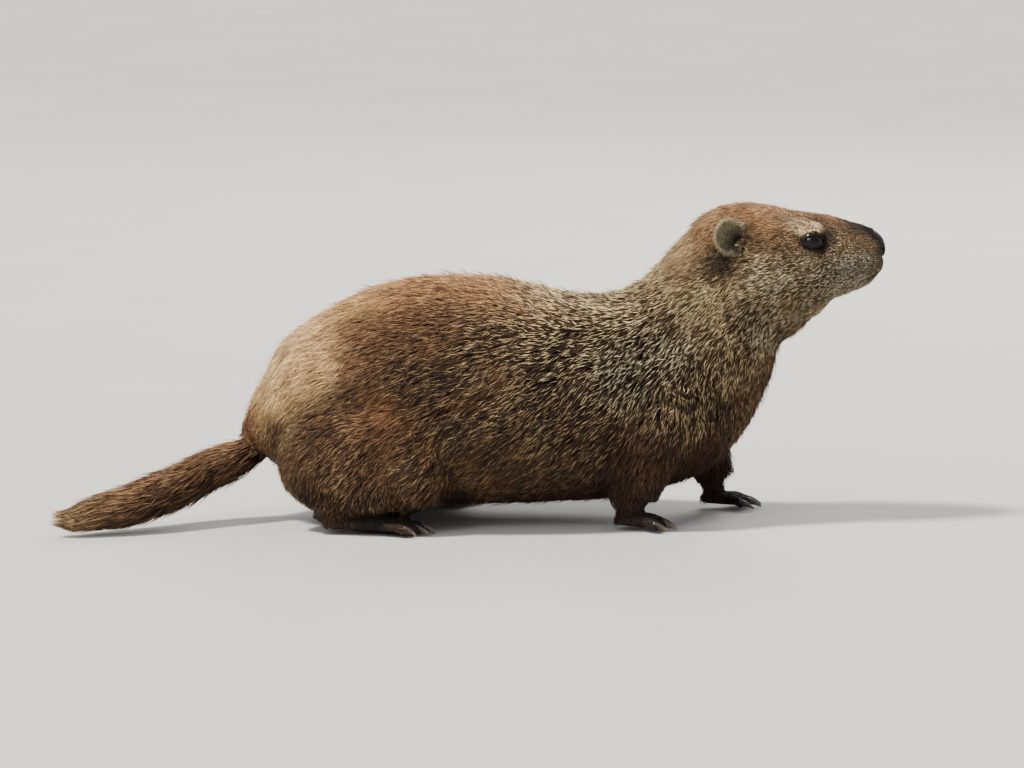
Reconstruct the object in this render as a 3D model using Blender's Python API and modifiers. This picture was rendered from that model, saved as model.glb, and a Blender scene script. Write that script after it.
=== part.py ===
"""A life-size groundhog, walking low with its head raised, as a still museum model.

Metres, +Z up. The animal faces +X, its right side is towards -Y, and it stands on Z = 0.
Every solid reaches out to the tips of the coat. The flesh is built whole from lofts, limbs and
lumps, grown together by a voxel remesh, and then parted with thin cuts into head, neck, torso
and legs. Ears, eyes, nose, feet and tail are made on their own and meet it face to face. The
tail's long hair is a brush of flat locks; the rest of the coat is short and lies close.
"""

import math
import random
from collections import namedtuple

import bmesh
import bpy
from mathutils import Matrix, Vector
from mathutils.bvhtree import BVHTree

MM = 0.001

# Driving dimensions, in millimetres, before the whole is centred on its own box
GAP = 0.3
FAR = 400.0
EYE_RADIUS = 6.3
EYE_AT = (206.8, 23.8, 175.6)
EYE_FACES = (0.28, 0.93, 0.20)
EYE_OPENING = (5.8, 4.7)
LID = 1.9
EAR_AT = (156.6, 35.5, 180.0)
EAR_FACES = (0.46, 0.86, 0.06)
EAR_SIZE = (10.6, 10.6, 8.5)
EAR_THICKNESS = 2.0
EAR_LOBE = (160.5, 34.0, 170.5)
NOSE_AT = (250.0, 0.0, 170.0)
NOSE_SIZE = (7.5, 7.2, 8.2)
NOSE_RISE = 1.2
NOSTRIL = [(254.8, 2.4, 168.6, 0.9), (252.6, 3.6, 167.2, 1.4), (249.6, 6.6, 168.0, 0.8)]
MOUTH = [(250.6, 158.4), (248.2, 155.0), (243.0, 152.0), (236.0, 150.2), (228.0, 150.4)]
LIP_FRONT = 160.6
MOUTH_GROOVE = 0.8
ANKLE = 19.0
FLESH_GRID = 1.9
FOOT_GRID = 0.9
HEAD_TRIANGLES = 4600
BODY_TRIANGLES = 3000
FOOT_TRIANGLES = 260
TOE_RADIUS = 3.3
TOE_SPREAD = 9.0
CLAW_HALF_WIDTH = 2.0
CLAW_DROP = 3.6
CLAW_SUNK = 0.25

# One ring of the body's loft: its top and bottom points on the mid-plane, its half-width, how
# far up its widest level is, and how full it is (2 is an ellipse, more is boxier)
Ring = namedtuple("Ring", "top_x top_z bottom_x bottom_z half_width waist fullness")

BODY = [
    Ring(-148, 57, -140, 46, 8, 0.5, 2.0),        # tail root
    Ring(-141, 70, -131, 40, 23, 0.45, 2.0),
    Ring(-133, 87, -120, 32, 38, 0.42, 2.1),      # rump
    Ring(-121, 110, -107, 21, 52, 0.42, 2.2),
    Ring(-97, 129, -92, 14, 64, 0.42, 2.2),       # hips
    Ring(-66, 145, -64, 12, 73, 0.42, 2.2),
    Ring(-34, 152.5, -32, 11, 77, 0.42, 2.2),     # loin
    Ring(0, 153.5, 2, 11, 78, 0.42, 2.2),         # belly
    Ring(28, 150, 34, 11, 75, 0.42, 2.2),
    Ring(54, 144, 66, 12, 69, 0.43, 2.2),         # ribs
    Ring(77, 142.5, 98, 15, 62, 0.44, 2.2),
    Ring(92, 146, 126, 23, 56, 0.45, 2.2),        # shoulders
    Ring(104, 152.5, 152, 36, 51, 0.46, 2.2),
    Ring(115, 163.5, 172, 62, 46, 0.48, 2.2),     # chest
    Ring(126, 176, 184, 88, 42, 0.5, 2.2),
    Ring(138, 189.5, 190, 108, 40, 0.5, 2.2),     # throat
    Ring(150, 196, 203, 119, 39, 0.48, 2.2),      # behind the ears
    Ring(165, 198.3, 214, 129, 38, 0.46, 2.2),    # crown
    Ring(180, 197, 222, 137.5, 35, 0.45, 2.3),    # cheeks
    Ring(194, 193.5, 229, 140.5, 30.5, 0.44, 2.3),
    Ring(207, 191.5, 235, 142.5, 26.5, 0.44, 2.3),  # eyes
    Ring(219, 190, 240, 144.5, 22, 0.44, 2.3),
    Ring(231, 186.3, 245, 147.5, 18.5, 0.45, 2.2),
    Ring(241, 181.5, 249, 152, 15, 0.46, 2.1),    # muzzle
    Ring(248, 177, 251.5, 156, 11.5, 0.48, 2.0),
    Ring(251.5, 172.5, 252.5, 162, 7, 0.5, 2.0),
]

# One leg: its joints from the trunk to the ankle as (x, y, z, radius), the egg of muscle at its
# top, the block that parts it from the trunk, and its foot. Y counts outwards from mid-plane.
Leg = namedtuple("Leg", "name side joints muscle block foot")
Muscle = namedtuple("Muscle", "x y z length width height tilt")
Block = namedtuple("Block", "x z half_length half_height tilt inner")
Foot = namedtuple("Foot", "heel_x y toe_x yaw width toes claw")

LEGS = [
    Leg(
        "right_hind", -1,
        [(-62, 46, 66, 32), (-40, 53, 42, 28), (-60, 58, 27, 21), (-84, 60, 18, 14)],
        Muscle(-68, 49, 47, 55, 27, 41, 6),
        Block(-64, 44, 60, 60, 0, 33),
        Foot(-96, 60, -28, 3, 27, 5, 9),
    ),
    Leg(
        "left_hind", 1,
        [(-46, 46, 66, 32), (-14, 53, 42, 28), (-26, 58, 27, 21), (-50, 60, 18, 14)],
        Muscle(-50, 47, 54, 52, 27, 42, 4),
        Block(-38, 44, 60, 60, 0, 33),
        Foot(-62, 60, 6, 4, 27, 5, 9),
    ),
    Leg(
        "right_fore", -1,
        [(120, 36, 84, 26), (107, 43, 50, 21), (99, 46, 18, 13)],
        Muscle(116, 37, 76, 32, 20, 40, -14),
        Block(108, 50, 33, 62, 0, 27),
        Foot(83, 46, 120, 3, 24, 4, 11),
    ),
    Leg(
        "left_fore", 1,
        [(130, 34, 84, 26), (138, 40, 54, 20), (152, 42, 18, 13)],
        Muscle(128, 34, 80, 32, 20, 40, 8),
        Block(145, 44, 34, 61, 24, 25),
        Foot(139, 42, 176, 5, 24, 4, 11),
    ),
]

# One egg of the face's left side: its middle, its three radii and its tilt; the right mirrors it
Egg = namedtuple("Egg", "name centre radii tilt")

FACE = [
    Egg("cheek", (198, 20, 157), (22, 15.5, 16), -12),
    Egg("brow", (203.5, 20.5, 182.5), (14, 6.5, 6), -4),
    Egg("whisker pad", (243.5, 7.5, 162), (9.5, 8.5, 8.5), -12),
    Egg("jaw", (222, 9, 152), (17, 10, 8.5), -10),
]
CHIN = Egg("chin", (241, 0, 152.5), (8.5, 8, 5.8), 20)

# The tail's middle line from its root, and the reach of its hair there
TAIL = [
    (-126, 0, 51, 9), (-140, -3, 44, 14), (-157, -13, 36, 15), (-172, -25, 30, 15.3),
    (-186, -37, 24.5, 15.6), (-199, -48, 19.5, 15.8), (-212, -57, 15.9, 15.6),
    (-225, -64, 14.2, 14), (-238, -70, 12.5, 10.5), (-248, -74, 11, 6), (-254, -76, 10, 2),
]

TAIL_LOCK = 36.0           # length of a lock, its width and its thickness at its widest
TAIL_LOCK_WIDTH = 12.5
TAIL_LOCK_THICKNESS = 2.6
TAIL_LOCK_STEPS = 4
TAIL_LOCK_RINGS = 10
TAIL_LOCKS_ROUND = 9
TAIL_CORE_SHARE = 0.46     # how far the tail's core reaches towards the tips of the hair
CLEAR_OF_FLOOR = 0.3
TAIL_SOLVER = "MANIFOLD"

COATS = {
    "head": ((0.30, 0.20, 0.13), 0.85),
    "neck": ((0.30, 0.22, 0.14), 0.9),
    "torso": ((0.17, 0.11, 0.07), 0.9),
    "tail": ((0.11, 0.06, 0.04), 0.9),
    "fore_leg": ((0.14, 0.08, 0.05), 0.9),
    "hind_leg": ((0.13, 0.075, 0.045), 0.9),
    "fore_foot": ((0.05, 0.035, 0.03), 0.8),
    "hind_foot": ((0.05, 0.035, 0.03), 0.8),
    "ear": ((0.22, 0.17, 0.13), 0.85),
    "eye": ((0.012, 0.010, 0.010), 0.05),
    "nose": ((0.02, 0.018, 0.02), 0.4),
}


def clear_scene():
    """Leaves an empty scene to model in."""
    for obj in list(bpy.data.objects):
        bpy.data.objects.remove(obj)


def collection(name, hidden=False):
    made = bpy.data.collections.new(name)
    bpy.context.scene.collection.children.link(made)
    made.hide_render = hidden
    return made


def add_object(name, data, home):
    obj = bpy.data.objects.new(name, data)
    home.objects.link(obj)
    return obj


def mesh_object(name, home, build):
    """A new object whose mesh is filled by build(bm), which works in millimetres."""
    bm = bmesh.new()
    build(bm)
    bmesh.ops.transform(bm, matrix=Matrix.Scale(MM, 4), verts=bm.verts)
    mesh = bpy.data.meshes.new(name)
    bm.to_mesh(mesh)
    bm.free()
    return add_object(name, mesh, home)


def baked(obj, name=None):
    """The same object with its curve or modifiers turned into plain mesh."""
    graph = bpy.context.evaluated_depsgraph_get()
    graph.update()
    mesh = bpy.data.meshes.new_from_object(obj.evaluated_get(graph))
    bm = bmesh.new()
    bm.from_mesh(mesh)
    bmesh.ops.remove_doubles(bm, verts=bm.verts, dist=0.01 * MM)
    bm.to_mesh(mesh)
    bm.free()
    home = obj.users_collection[0]
    bpy.data.objects.remove(obj)
    return add_object(name or mesh.name, mesh, home)


def copied(obj, name):
    return add_object(name, obj.data.copy(), obj.users_collection[0])


def superellipse(angle, fullness):
    """A point of a unit outline that is a circle at fullness 2 and boxier above."""
    power = 2 / fullness
    across, up = math.cos(angle), math.sin(angle)
    return (
        math.copysign(abs(across) ** power, across),
        math.copysign(abs(up) ** power, up),
    )


def eased(rings, steps):
    """More rings between the given ones, on a smooth curve through each of their values."""
    made = []
    for k in range(len(rings) - 1):
        before = rings[max(k - 1, 0)]
        after = rings[min(k + 2, len(rings) - 1)]
        for step in range(steps):
            t = step / steps
            values = []
            for a, b, c, d in zip(before, rings[k], rings[k + 1], after):
                slope_in = (c - a) / 2
                slope_out = (d - b) / 2
                values.append(
                    b + slope_in * t
                    + (3 * (c - b) - 2 * slope_in - slope_out) * t ** 2
                    + (2 * (b - c) + slope_in + slope_out) * t ** 3
                )
            made.append(type(rings[k])(*values))
    made.append(rings[-1])
    return made


def ring_points(ring, sides):
    """An egg-shaped section of the body, its widest level a little below its middle."""
    top = Vector((ring.top_x, 0, ring.top_z))
    bottom = Vector((ring.bottom_x, 0, ring.bottom_z))
    centre = bottom.lerp(top, ring.waist)
    points = []
    for i in range(sides):
        across, up = superellipse(2 * math.pi * i / sides, ring.fullness)
        reach = top - centre if up > 0 else centre - bottom
        points.append(centre + Vector((0, across * ring.half_width, 0)) + reach * up)
    return points


def loft(name, home, rows):
    """A closed skin through rows of points, with a flat cap at each end."""

    def build(bm):
        sides = len(rows[0])
        made = [[bm.verts.new(p) for p in row] for row in rows]
        for near, far in zip(made, made[1:]):
            for i in range(sides):
                j = (i + 1) % sides
                bm.faces.new((near[i], near[j], far[j], far[i]))
        bm.faces.new(list(reversed(made[0])))
        bm.faces.new(made[-1])
        bmesh.ops.recalc_face_normals(bm, faces=bm.faces)

    return mesh_object(name, home, build)


def limb(name, home, path, resolution=4):
    """A round limb along a smooth path of (x, y, z, radius) points."""
    curve = bpy.data.curves.new(name, "CURVE")
    curve.dimensions = "3D"
    curve.bevel_depth = MM
    curve.bevel_resolution = resolution
    curve.resolution_u = 6
    curve.use_fill_caps = True
    spline = curve.splines.new("BEZIER")
    spline.bezier_points.add(len(path) - 1)
    for point, (x, y, z, radius) in zip(spline.bezier_points, path):
        point.co = Vector((x, y, z)) * MM
        point.radius = radius
        point.handle_left_type = point.handle_right_type = "AUTO"
    return baked(add_object(name, curve, home), name)


def lump(name, home, centre, radii, turn=None, segments=24):
    """An egg of muscle, fat or bone: a sphere stretched to its three radii and turned."""
    place = Matrix.Translation(centre) @ (turn or Matrix()) @ Matrix.Diagonal((*radii, 1))

    def build(bm):
        bmesh.ops.create_uvsphere(
            bm, u_segments=segments, v_segments=segments // 2, radius=1, matrix=place
        )

    return mesh_object(name, home, build)


def tilted(degrees):
    """A turn that raises the front of a piece by so many degrees."""
    return Matrix.Rotation(math.radians(-degrees), 4, "Y")


def facing(direction):
    """A turn that carries +Z to the given direction and +Y as far up as it can."""
    forward = Vector(direction).normalized()
    guide = Vector((0, 0, 1)) if abs(forward.z) < 0.9 else Vector((1, 0, 0))
    level = guide.cross(forward).normalized()
    upward = forward.cross(level)
    return Matrix((level, upward, forward)).transposed().to_4x4()


def on_side(point, side):
    """A place given for the left side of the animal, on the side asked for."""
    return Vector((point[0], point[1] * side, point[2]))


def block(home, plan, side, grow=0.0):
    """A rounded block across one side of the trunk, that a leg is cut out with."""
    turn = Matrix.Translation((plan.x, 0, plan.z)) @ tilted(plan.tilt)
    rows = []
    for y in (plan.inner - grow, 130):
        row = []
        for i in range(40):
            across, up = superellipse(2 * math.pi * i / 40, 2.6)
            length = across * (plan.half_length + grow)
            height = up * (plan.half_height + grow)
            row.append(turn @ Vector((length, y * side, height)))
        rows.append(row)
    return loft("leg block", home, rows)


def half_space(home, centre, normal):
    """A large box that fills all that lies beyond a plane, on the side of its normal."""
    place = Matrix.Translation(centre) @ facing(normal) @ Matrix.Translation((0, 0, FAR / 2))

    def build(bm):
        bmesh.ops.create_cube(bm, size=FAR, matrix=place)

    return mesh_object("half space", home, build)


def floor_block(home):
    """All that lies under the floor."""

    def build(bm):
        place = Matrix.Translation((0, 0, -FAR / 2)) @ Matrix.Diagonal((4, 4, 1, 1))
        bmesh.ops.create_cube(bm, size=FAR, matrix=place)

    return mesh_object("floor", home, build)


def combine(target, other, operation, solver="EXACT"):
    """target with other joined to it, cut from it or kept in common, and other used up."""
    modifier = target.modifiers.new(operation.lower(), "BOOLEAN")
    modifier.operation = operation
    modifier.solver = solver
    modifier.object = other
    made = baked(target, target.name)
    bpy.data.objects.remove(other)
    return made


def united(target, pieces, home, solver="EXACT"):
    """target with many closed pieces joined to it by one Boolean, and the pieces used up."""
    group = bpy.data.collections.new("pieces to join")
    bpy.context.scene.collection.children.link(group)
    for piece in pieces:
        for old in piece.users_collection:
            old.objects.unlink(piece)
        group.objects.link(piece)
    modifier = target.modifiers.new("join", "BOOLEAN")
    modifier.operation = "UNION"
    modifier.solver = solver
    modifier.operand_type = "COLLECTION"
    modifier.collection = group
    made = baked(target, target.name)
    for piece in pieces:
        bpy.data.objects.remove(piece)
    bpy.data.collections.remove(group)
    return made


def grown_together(name, home, pieces, voxel, smoothing):
    """The pieces as one smooth flesh on a fine even grid."""
    bm = bmesh.new()
    for piece in pieces:
        bm.from_mesh(piece.data)
        bpy.data.objects.remove(piece)
    mesh = bpy.data.meshes.new(name)
    bm.to_mesh(mesh)
    bm.free()
    whole = add_object(name, mesh, home)
    remesh = whole.modifiers.new("grow together", "REMESH")
    remesh.mode = "VOXEL"
    remesh.voxel_size = voxel * MM
    smooth = whole.modifiers.new("soften", "SMOOTH")
    smooth.iterations = smoothing
    return baked(whole, name)


def softened(obj, iterations):
    """The same shape with its creases eased."""
    smooth = obj.modifiers.new("soften", "SMOOTH")
    smooth.iterations = iterations
    return baked(obj, obj.name)


def thinned(obj, triangles):
    """The same shape in about so many triangles."""
    bm = bmesh.new()
    bm.from_mesh(obj.data)
    bmesh.ops.triangulate(bm, faces=bm.faces)
    fine = len(bm.faces)
    bm.to_mesh(obj.data)
    bm.free()
    thin = obj.modifiers.new("thin out", "DECIMATE")
    thin.ratio = min(1.0, triangles / fine)
    return baked(obj, obj.name)


def largest_piece(obj):
    """Keeps only the largest closed surface, which drops loose scraps and sealed hollows."""
    bm = bmesh.new()
    bm.from_mesh(obj.data)
    left = set(bm.verts)
    groups = []
    while left:
        front = [left.pop()]
        group = set(front)
        while front:
            for edge in front.pop().link_edges:
                for vert in edge.verts:
                    if vert in left:
                        left.discard(vert)
                        group.add(vert)
                        front.append(vert)
        groups.append(group)
    groups.sort(key=len)
    scraps = [vert for group in groups[:-1] for vert in group]
    bmesh.ops.delete(bm, geom=scraps, context="VERTS")
    bm.to_mesh(obj.data)
    bm.free()
    return obj


def inflated(obj, by):
    """A copy of a solid, swollen by so many millimetres, that a neighbour is cut with."""
    fence = copied(obj, obj.name + "_swollen")
    grow = fence.modifiers.new("grow", "DISPLACE")
    grow.strength = by * MM
    grow.mid_level = 0
    return baked(fence, fence.name)


def across_ring(ring, shift=0.0):
    """The middle of a ring of the body and the direction through it, towards the head."""
    top = Vector((ring.top_x, 0, ring.top_z))
    bottom = Vector((ring.bottom_x, 0, ring.bottom_z))
    along = Vector((0, 1, 0)).cross(top - bottom).normalized()
    return (top + bottom) / 2 + along * shift, along


def surface_tree(obj):
    bm = bmesh.new()
    bm.from_mesh(obj.data)
    tree = BVHTree.FromBMesh(bm)
    bm.free()
    return tree


def flesh(home):
    """Trunk, neck, head and upper legs as one fine skin, out to the tips of the coat."""
    pieces = [loft("body", home, [ring_points(ring, 48) for ring in eased(BODY, 4)])]
    for leg in LEGS:
        path = [(x, y * leg.side, z, r) for x, y, z, r in leg.joints]
        pieces.append(limb("leg", home, path))
        muscle = leg.muscle
        radii = (muscle.length, muscle.width, muscle.height)
        centre = (muscle.x, muscle.y * leg.side, muscle.z)
        pieces.append(lump("muscle", home, centre, radii, tilted(muscle.tilt)))
    for egg in FACE:
        for side in (-1, 1):
            centre = on_side(egg.centre, side)
            pieces.append(lump(egg.name, home, centre, egg.radii, tilted(egg.tilt)))
    pieces.append(lump(CHIN.name, home, CHIN.centre, CHIN.radii, tilted(CHIN.tilt)))
    return grown_together("flesh", home, pieces, FLESH_GRID, 4)


def lids(head, side, home):
    """Adds the swelling of the lids round one eye, and cuts their opening and the socket."""
    at = on_side(EYE_AT, side)
    facing_out = on_side(EYE_FACES, side).normalized()
    place = Matrix.Translation(at) @ facing(facing_out)
    rim = lump("lids", home, at, [EYE_RADIUS + LID] * 3, facing(facing_out), 18)
    head = combine(head, rim, "UNION")
    half_long, half_high = EYE_OPENING

    def almond(bm):
        stretch = Matrix.Diagonal((half_long, half_high, 2 * EYE_RADIUS, 1))
        bmesh.ops.create_cone(
            bm, cap_ends=True, segments=20, radius1=0.8, radius2=1.3, depth=1,
            matrix=place @ Matrix.Translation((0, 0, EYE_RADIUS * 1.4)) @ stretch,
        )

    head = combine(head, mesh_object("opening", home, almond), "DIFFERENCE")
    socket = lump("socket", home, at, [EYE_RADIUS + GAP * 1.4] * 3, facing(facing_out), 18)
    return combine(head, socket, "DIFFERENCE")


def eye(name, side, home):
    at = on_side(EYE_AT, side)
    return lump(name, home, at, [EYE_RADIUS] * 3, facing(on_side(EYE_FACES, side)), 16)


def mouth_line(head, home):
    """A groove along the head's own surface, from the front lip back to each corner."""
    tree = surface_tree(head)
    paths = {}
    for side in (-1, 1):
        path = []
        for x, z in MOUTH:
            start = Vector((x, 60 * side, z)) * MM
            hit = tree.ray_cast(start, Vector((0, -side, 0)))[0]
            if hit:
                path.append(hit / MM)
        paths[side] = path
    front = tree.ray_cast(Vector((300, 0, LIP_FRONT)) * MM, Vector((-1, 0, 0)))[0] / MM
    route = list(reversed(paths[-1])) + [front] + paths[1]
    points = [(*p, MOUTH_GROOVE) for p in route]
    points[0] = (*points[0][:3], MOUTH_GROOVE * 0.6)
    points[-1] = (*points[-1][:3], MOUTH_GROOVE * 0.6)
    head = combine(head, limb("mouth", home, points, 1), "DIFFERENCE")
    cleft = []
    for height in (0.15, 0.5, 0.95):
        z = LIP_FRONT + height * (NOSE_AT[2] - NOSE_SIZE[2] - LIP_FRONT)
        hit = tree.ray_cast(Vector((300, 0, z)) * MM, Vector((-1, 0, 0)))[0] / MM
        cleft.append((*hit, MOUTH_GROOVE * 0.7))
    return combine(head, limb("cleft of the lip", home, cleft, 1), "DIFFERENCE")


def ear(name, side, home, head):
    """A cup of even thickness, open forwards and outwards, and the head hollowed to seat it."""
    half_wide, half_high, depth = EAR_SIZE
    turn = facing(on_side(EAR_FACES, side))
    place = Matrix.Translation(on_side(EAR_AT, side)) @ turn
    grown = EAR_THICKNESS / 2 + GAP

    def hollow(bm):
        bmesh.ops.create_uvsphere(bm, u_segments=12, v_segments=8, radius=1)
        for vert in bm.verts:
            vert.co.z *= depth + grown if vert.co.z < 0 else 0.25 * depth
        stretch = Matrix.Diagonal((half_wide + grown, half_high + grown, 1, 1))
        bmesh.ops.transform(bm, matrix=place @ stretch, verts=bm.verts)

    head = combine(head, mesh_object("hollow of the ear", home, hollow), "DIFFERENCE")

    def bowl(bm):
        bmesh.ops.create_uvsphere(bm, u_segments=14, v_segments=8, radius=1)
        upper = [v for v in bm.verts if v.co.z > 0.05]
        bmesh.ops.delete(bm, geom=upper, context="VERTS")
        stretch = Matrix.Diagonal((half_wide, half_high, depth, 1))
        bmesh.ops.transform(bm, matrix=place @ stretch, verts=bm.verts)

    cup = mesh_object(name, home, bowl)
    wall = cup.modifiers.new("wall", "SOLIDIFY")
    wall.thickness = EAR_THICKNESS * MM
    wall.offset = 0
    wall.use_even_offset = True
    cup = baked(cup, name)
    root = on_side(EAR_LOBE, side)
    stalk = lump("lobe of the ear", home, root, (5.5, 4.6, 4), turn, 10)
    cup = combine(cup, stalk, "UNION")
    return largest_piece(combine(cup, inflated(head, GAP), "DIFFERENCE")), head


def nose(home, head):
    """The bare pad round the nostrils, which follows the muzzle, and the head cut to meet it."""
    turn = tilted(-25)
    pad = lump("nose", home, NOSE_AT, NOSE_SIZE, turn, 12)
    pad = combine(pad, inflated(head, NOSE_RISE), "INTERSECT")
    seat = lump("seat", home, NOSE_AT, [size + GAP * 1.5 for size in NOSE_SIZE], turn, 12)
    head = combine(head, seat, "DIFFERENCE")
    for side in (-1, 1):
        path = [(*on_side(spot[:3], side), spot[3]) for spot in NOSTRIL]
        pad = combine(pad, limb("nostril", home, path, 1), "DIFFERENCE")
    return pad, head


def claw(home, root, yaw, length, side):
    """A curved, narrow claw, its root sunk in the toe, that tapers to a blunt tip."""
    forward = Vector((math.cos(yaw), math.sin(yaw) * side, 0))
    rows = []
    for step in range(5):
        t = step / 4
        rise = Vector((0, 0, 1.2 - CLAW_DROP * t * t))
        centre = root + forward * length * (t - CLAW_SUNK) + rise
        half = CLAW_HALF_WIDTH * (1 - 0.75 * t)
        across = Vector((-forward.y, forward.x, 0)) * half * 0.8
        up = Vector((0, 0, half * 1.15))
        rows.append([centre + across, centre + up, centre - across, centre - up])
    return loft("claw", home, rows)


def foot(leg, home):
    """A flat foot: a low sole, toes in a fan, and a claw on each toe, and its seat in the leg."""
    plan = leg.foot
    side = leg.side
    yaw = math.radians(plan.yaw)
    length = plan.toe_x - plan.heel_x
    forward = Vector((math.cos(yaw), math.sin(yaw) * side, 0))
    outward = Vector((-math.sin(yaw) * side, math.cos(yaw), 0)) * side
    heel = Vector((plan.heel_x, plan.y * side, 0))
    half = plan.width / 2
    ankle = Vector(on_side(leg.joints[-1][:3], side))
    ankle_radius = leg.joints[-1][3]
    pieces = [
        limb("sole", home, [
            (*(heel + forward * 6 + Vector((0, 0, 8))), half * 0.75),
            (*(heel + forward * length * 0.42 + Vector((0, 0, 7.5))), half * 0.86),
            (*(heel + forward * length * 0.72 + Vector((0, 0, 5.5))), half * 0.9),
        ]),
        limb("ankle", home, [
            (*(ankle + Vector((0, 0, 14))), ankle_radius * 0.85),
            (*ankle, ankle_radius * 0.85),
            (*(heel + forward * length * 0.3 + Vector((0, 0, 7))), half * 0.8),
        ]),
    ]
    claws = []
    for i in range(plan.toes):
        spread = i / (plan.toes - 1) * 2 - 1
        reach = length * (1.0 - 0.16 * abs(spread - 0.1) ** 1.5)
        start = heel + forward * length * 0.62 + outward * spread * half * 0.72
        end = heel + forward * (reach - 3) + outward * spread * half * 1.12
        middle = start.lerp(end, 0.55)
        pieces.append(limb("toe", home, [
            (*(start + Vector((0, 0, 5))), TOE_RADIUS * 1.1),
            (*(middle + Vector((0, 0, 5.4))), TOE_RADIUS),
            (*(end + Vector((0, 0, 3.6))), TOE_RADIUS * 0.94),
        ]))
        toe_yaw = yaw + math.radians(spread * TOE_SPREAD)
        claws.append((end + Vector((0, 0, 4.0)), toe_yaw, plan.claw * (1 - 0.12 * abs(spread))))
    solid = grown_together(leg.name + "_foot", home, pieces, FOOT_GRID, 3)
    solid = thinned(solid, FOOT_TRIANGLES)
    solid = combine(solid, half_space(home, (0, 0, ANKLE - GAP / 2), (0, 0, 1)), "DIFFERENCE")
    seat = inflated(solid, GAP * 1.5)
    nails = [claw(home, root, angle, size, side) for root, angle, size in claws]
    solid = united(solid, nails, home)
    return largest_piece(combine(solid, floor_block(home), "DIFFERENCE")), seat


class TailLine:
    """The tail's middle line, read by the distance from its root in millimetres."""

    def __init__(self):
        self.knots = [Vector(p[:3]) for p in TAIL]
        self.reaches = [p[3] for p in TAIL]
        self.marks = [0.0]
        for near, far in zip(self.knots, self.knots[1:]):
            self.marks.append(self.marks[-1] + (far - near).length)
        self.length = self.marks[-1]

    def at(self, distance):
        """Place, sideways and upwards directions, and the reach of the hair there."""
        goal = min(max(distance, 0.0), self.length)
        last = len(self.knots) - 1
        k = max(j for j in range(last) if self.marks[j] <= goal)
        t = (goal - self.marks[k]) / (self.marks[k + 1] - self.marks[k])
        place = self.knots[k].lerp(self.knots[k + 1], t)
        before = self.knots[max(k - 1, 0)].lerp(self.knots[k], t)
        after = self.knots[k + 1].lerp(self.knots[min(k + 2, last)], t)
        along = (after - before).normalized()
        sideways = along.cross(Vector((0, 0, 1))).normalized()
        reach = self.reaches[k] + (self.reaches[k + 1] - self.reaches[k]) * t
        return place, sideways, sideways.cross(along), reach

    def spot(self, distance, angle, radius):
        """A place round the line, kept clear of the floor."""
        place, sideways, upwards, _ = self.at(distance)
        point = place + (sideways * math.cos(angle) + upwards * math.sin(angle)) * radius
        point.z = max(point.z, CLEAR_OF_FLOOR)
        return point


def tail_core(home, line):
    """The flesh of the tail and the root half of its hair, which the locks grow from."""
    rows = []
    end = line.length - TAIL_LOCK * 0.55
    for step in range(15):
        distance = end * step / 14
        reach = line.at(distance)[3] * TAIL_CORE_SHARE
        if step == 0:
            reach = line.at(0)[3]
        taper = min(1.0, math.sqrt(max(0.0, (end + 4 - distance) / 30)))
        angles = [2 * math.pi * i / 12 for i in range(12)]
        rows.append([line.spot(distance, angle, reach * taper) for angle in angles])
    return loft("tail", home, rows)


def tail_lock(home, line, root, angle, length, width, twist, lift):
    """A flat, tapered lock that rises from the core and bends to lie along the tail."""
    rows = []
    for step in range(TAIL_LOCK_STEPS + 1):
        t = step / TAIL_LOCK_STEPS
        distance = root + length * t
        if distance > line.length:
            distance = line.length + (distance - line.length) * 0.2
        reach = line.at(distance)[3]
        inner = line.at(root)[3] * TAIL_CORE_SHARE * 0.35
        radius = inner + (reach * lift - inner) * (1 - (1 - t) ** 2.2)
        swell = (0.75 + 0.9 * t) * (1 - t ** 1.7)
        half = max(width * 0.5 * swell, 0.25)
        thick = max(TAIL_LOCK_THICKNESS * 0.5 * (1 - 0.75 * t), 0.25)
        turn = half / max(radius, 6.0)
        tilt = math.sin(twist) * half
        rows.append([
            line.spot(distance, angle - turn, radius - tilt - thick),
            line.spot(distance, angle, radius + thick),
            line.spot(distance, angle + turn, radius + tilt - thick),
        ])
    return loft("lock", home, rows)


def tail(home):
    """A bushy tail: overlapping locks in staggered rings round a core, out to their tips."""
    draw = random.Random(7)
    line = TailLine()
    core = tail_core(home, line)
    locks = []
    first = 6.0
    last = line.length - TAIL_LOCK * 0.72
    for ring in range(TAIL_LOCK_RINGS):
        root = first + (last - first) * ring / (TAIL_LOCK_RINGS - 1)
        for k in range(TAIL_LOCKS_ROUND):
            angle = 2 * math.pi * (k + 0.5 * (ring % 2)) / TAIL_LOCKS_ROUND
            locks.append(tail_lock(
                home, line,
                root + draw.uniform(-2.5, 2.5),
                angle + draw.uniform(-0.12, 0.12),
                TAIL_LOCK * draw.uniform(0.88, 1.1),
                TAIL_LOCK_WIDTH * draw.uniform(0.85, 1.15),
                draw.uniform(0.10, 0.22),
                draw.uniform(0.93, 1.0),
            ))
    return largest_piece(united(core, locks, home, TAIL_SOLVER))


def material_for(name):
    """The plain colour and gloss of one part of the body."""
    kind = name.replace("right_", "").replace("left_", "")
    colour, roughness = COATS[kind]
    material = bpy.data.materials.get(kind) or bpy.data.materials.new(kind)
    material.use_nodes = True
    shader = material.node_tree.nodes["Principled BSDF"]
    shader.inputs["Base Color"].default_value = (*colour, 1)
    shader.inputs["Roughness"].default_value = roughness
    shader.inputs["Metallic"].default_value = 0.0
    material.diffuse_color = (*colour, 1)
    return material


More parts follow.
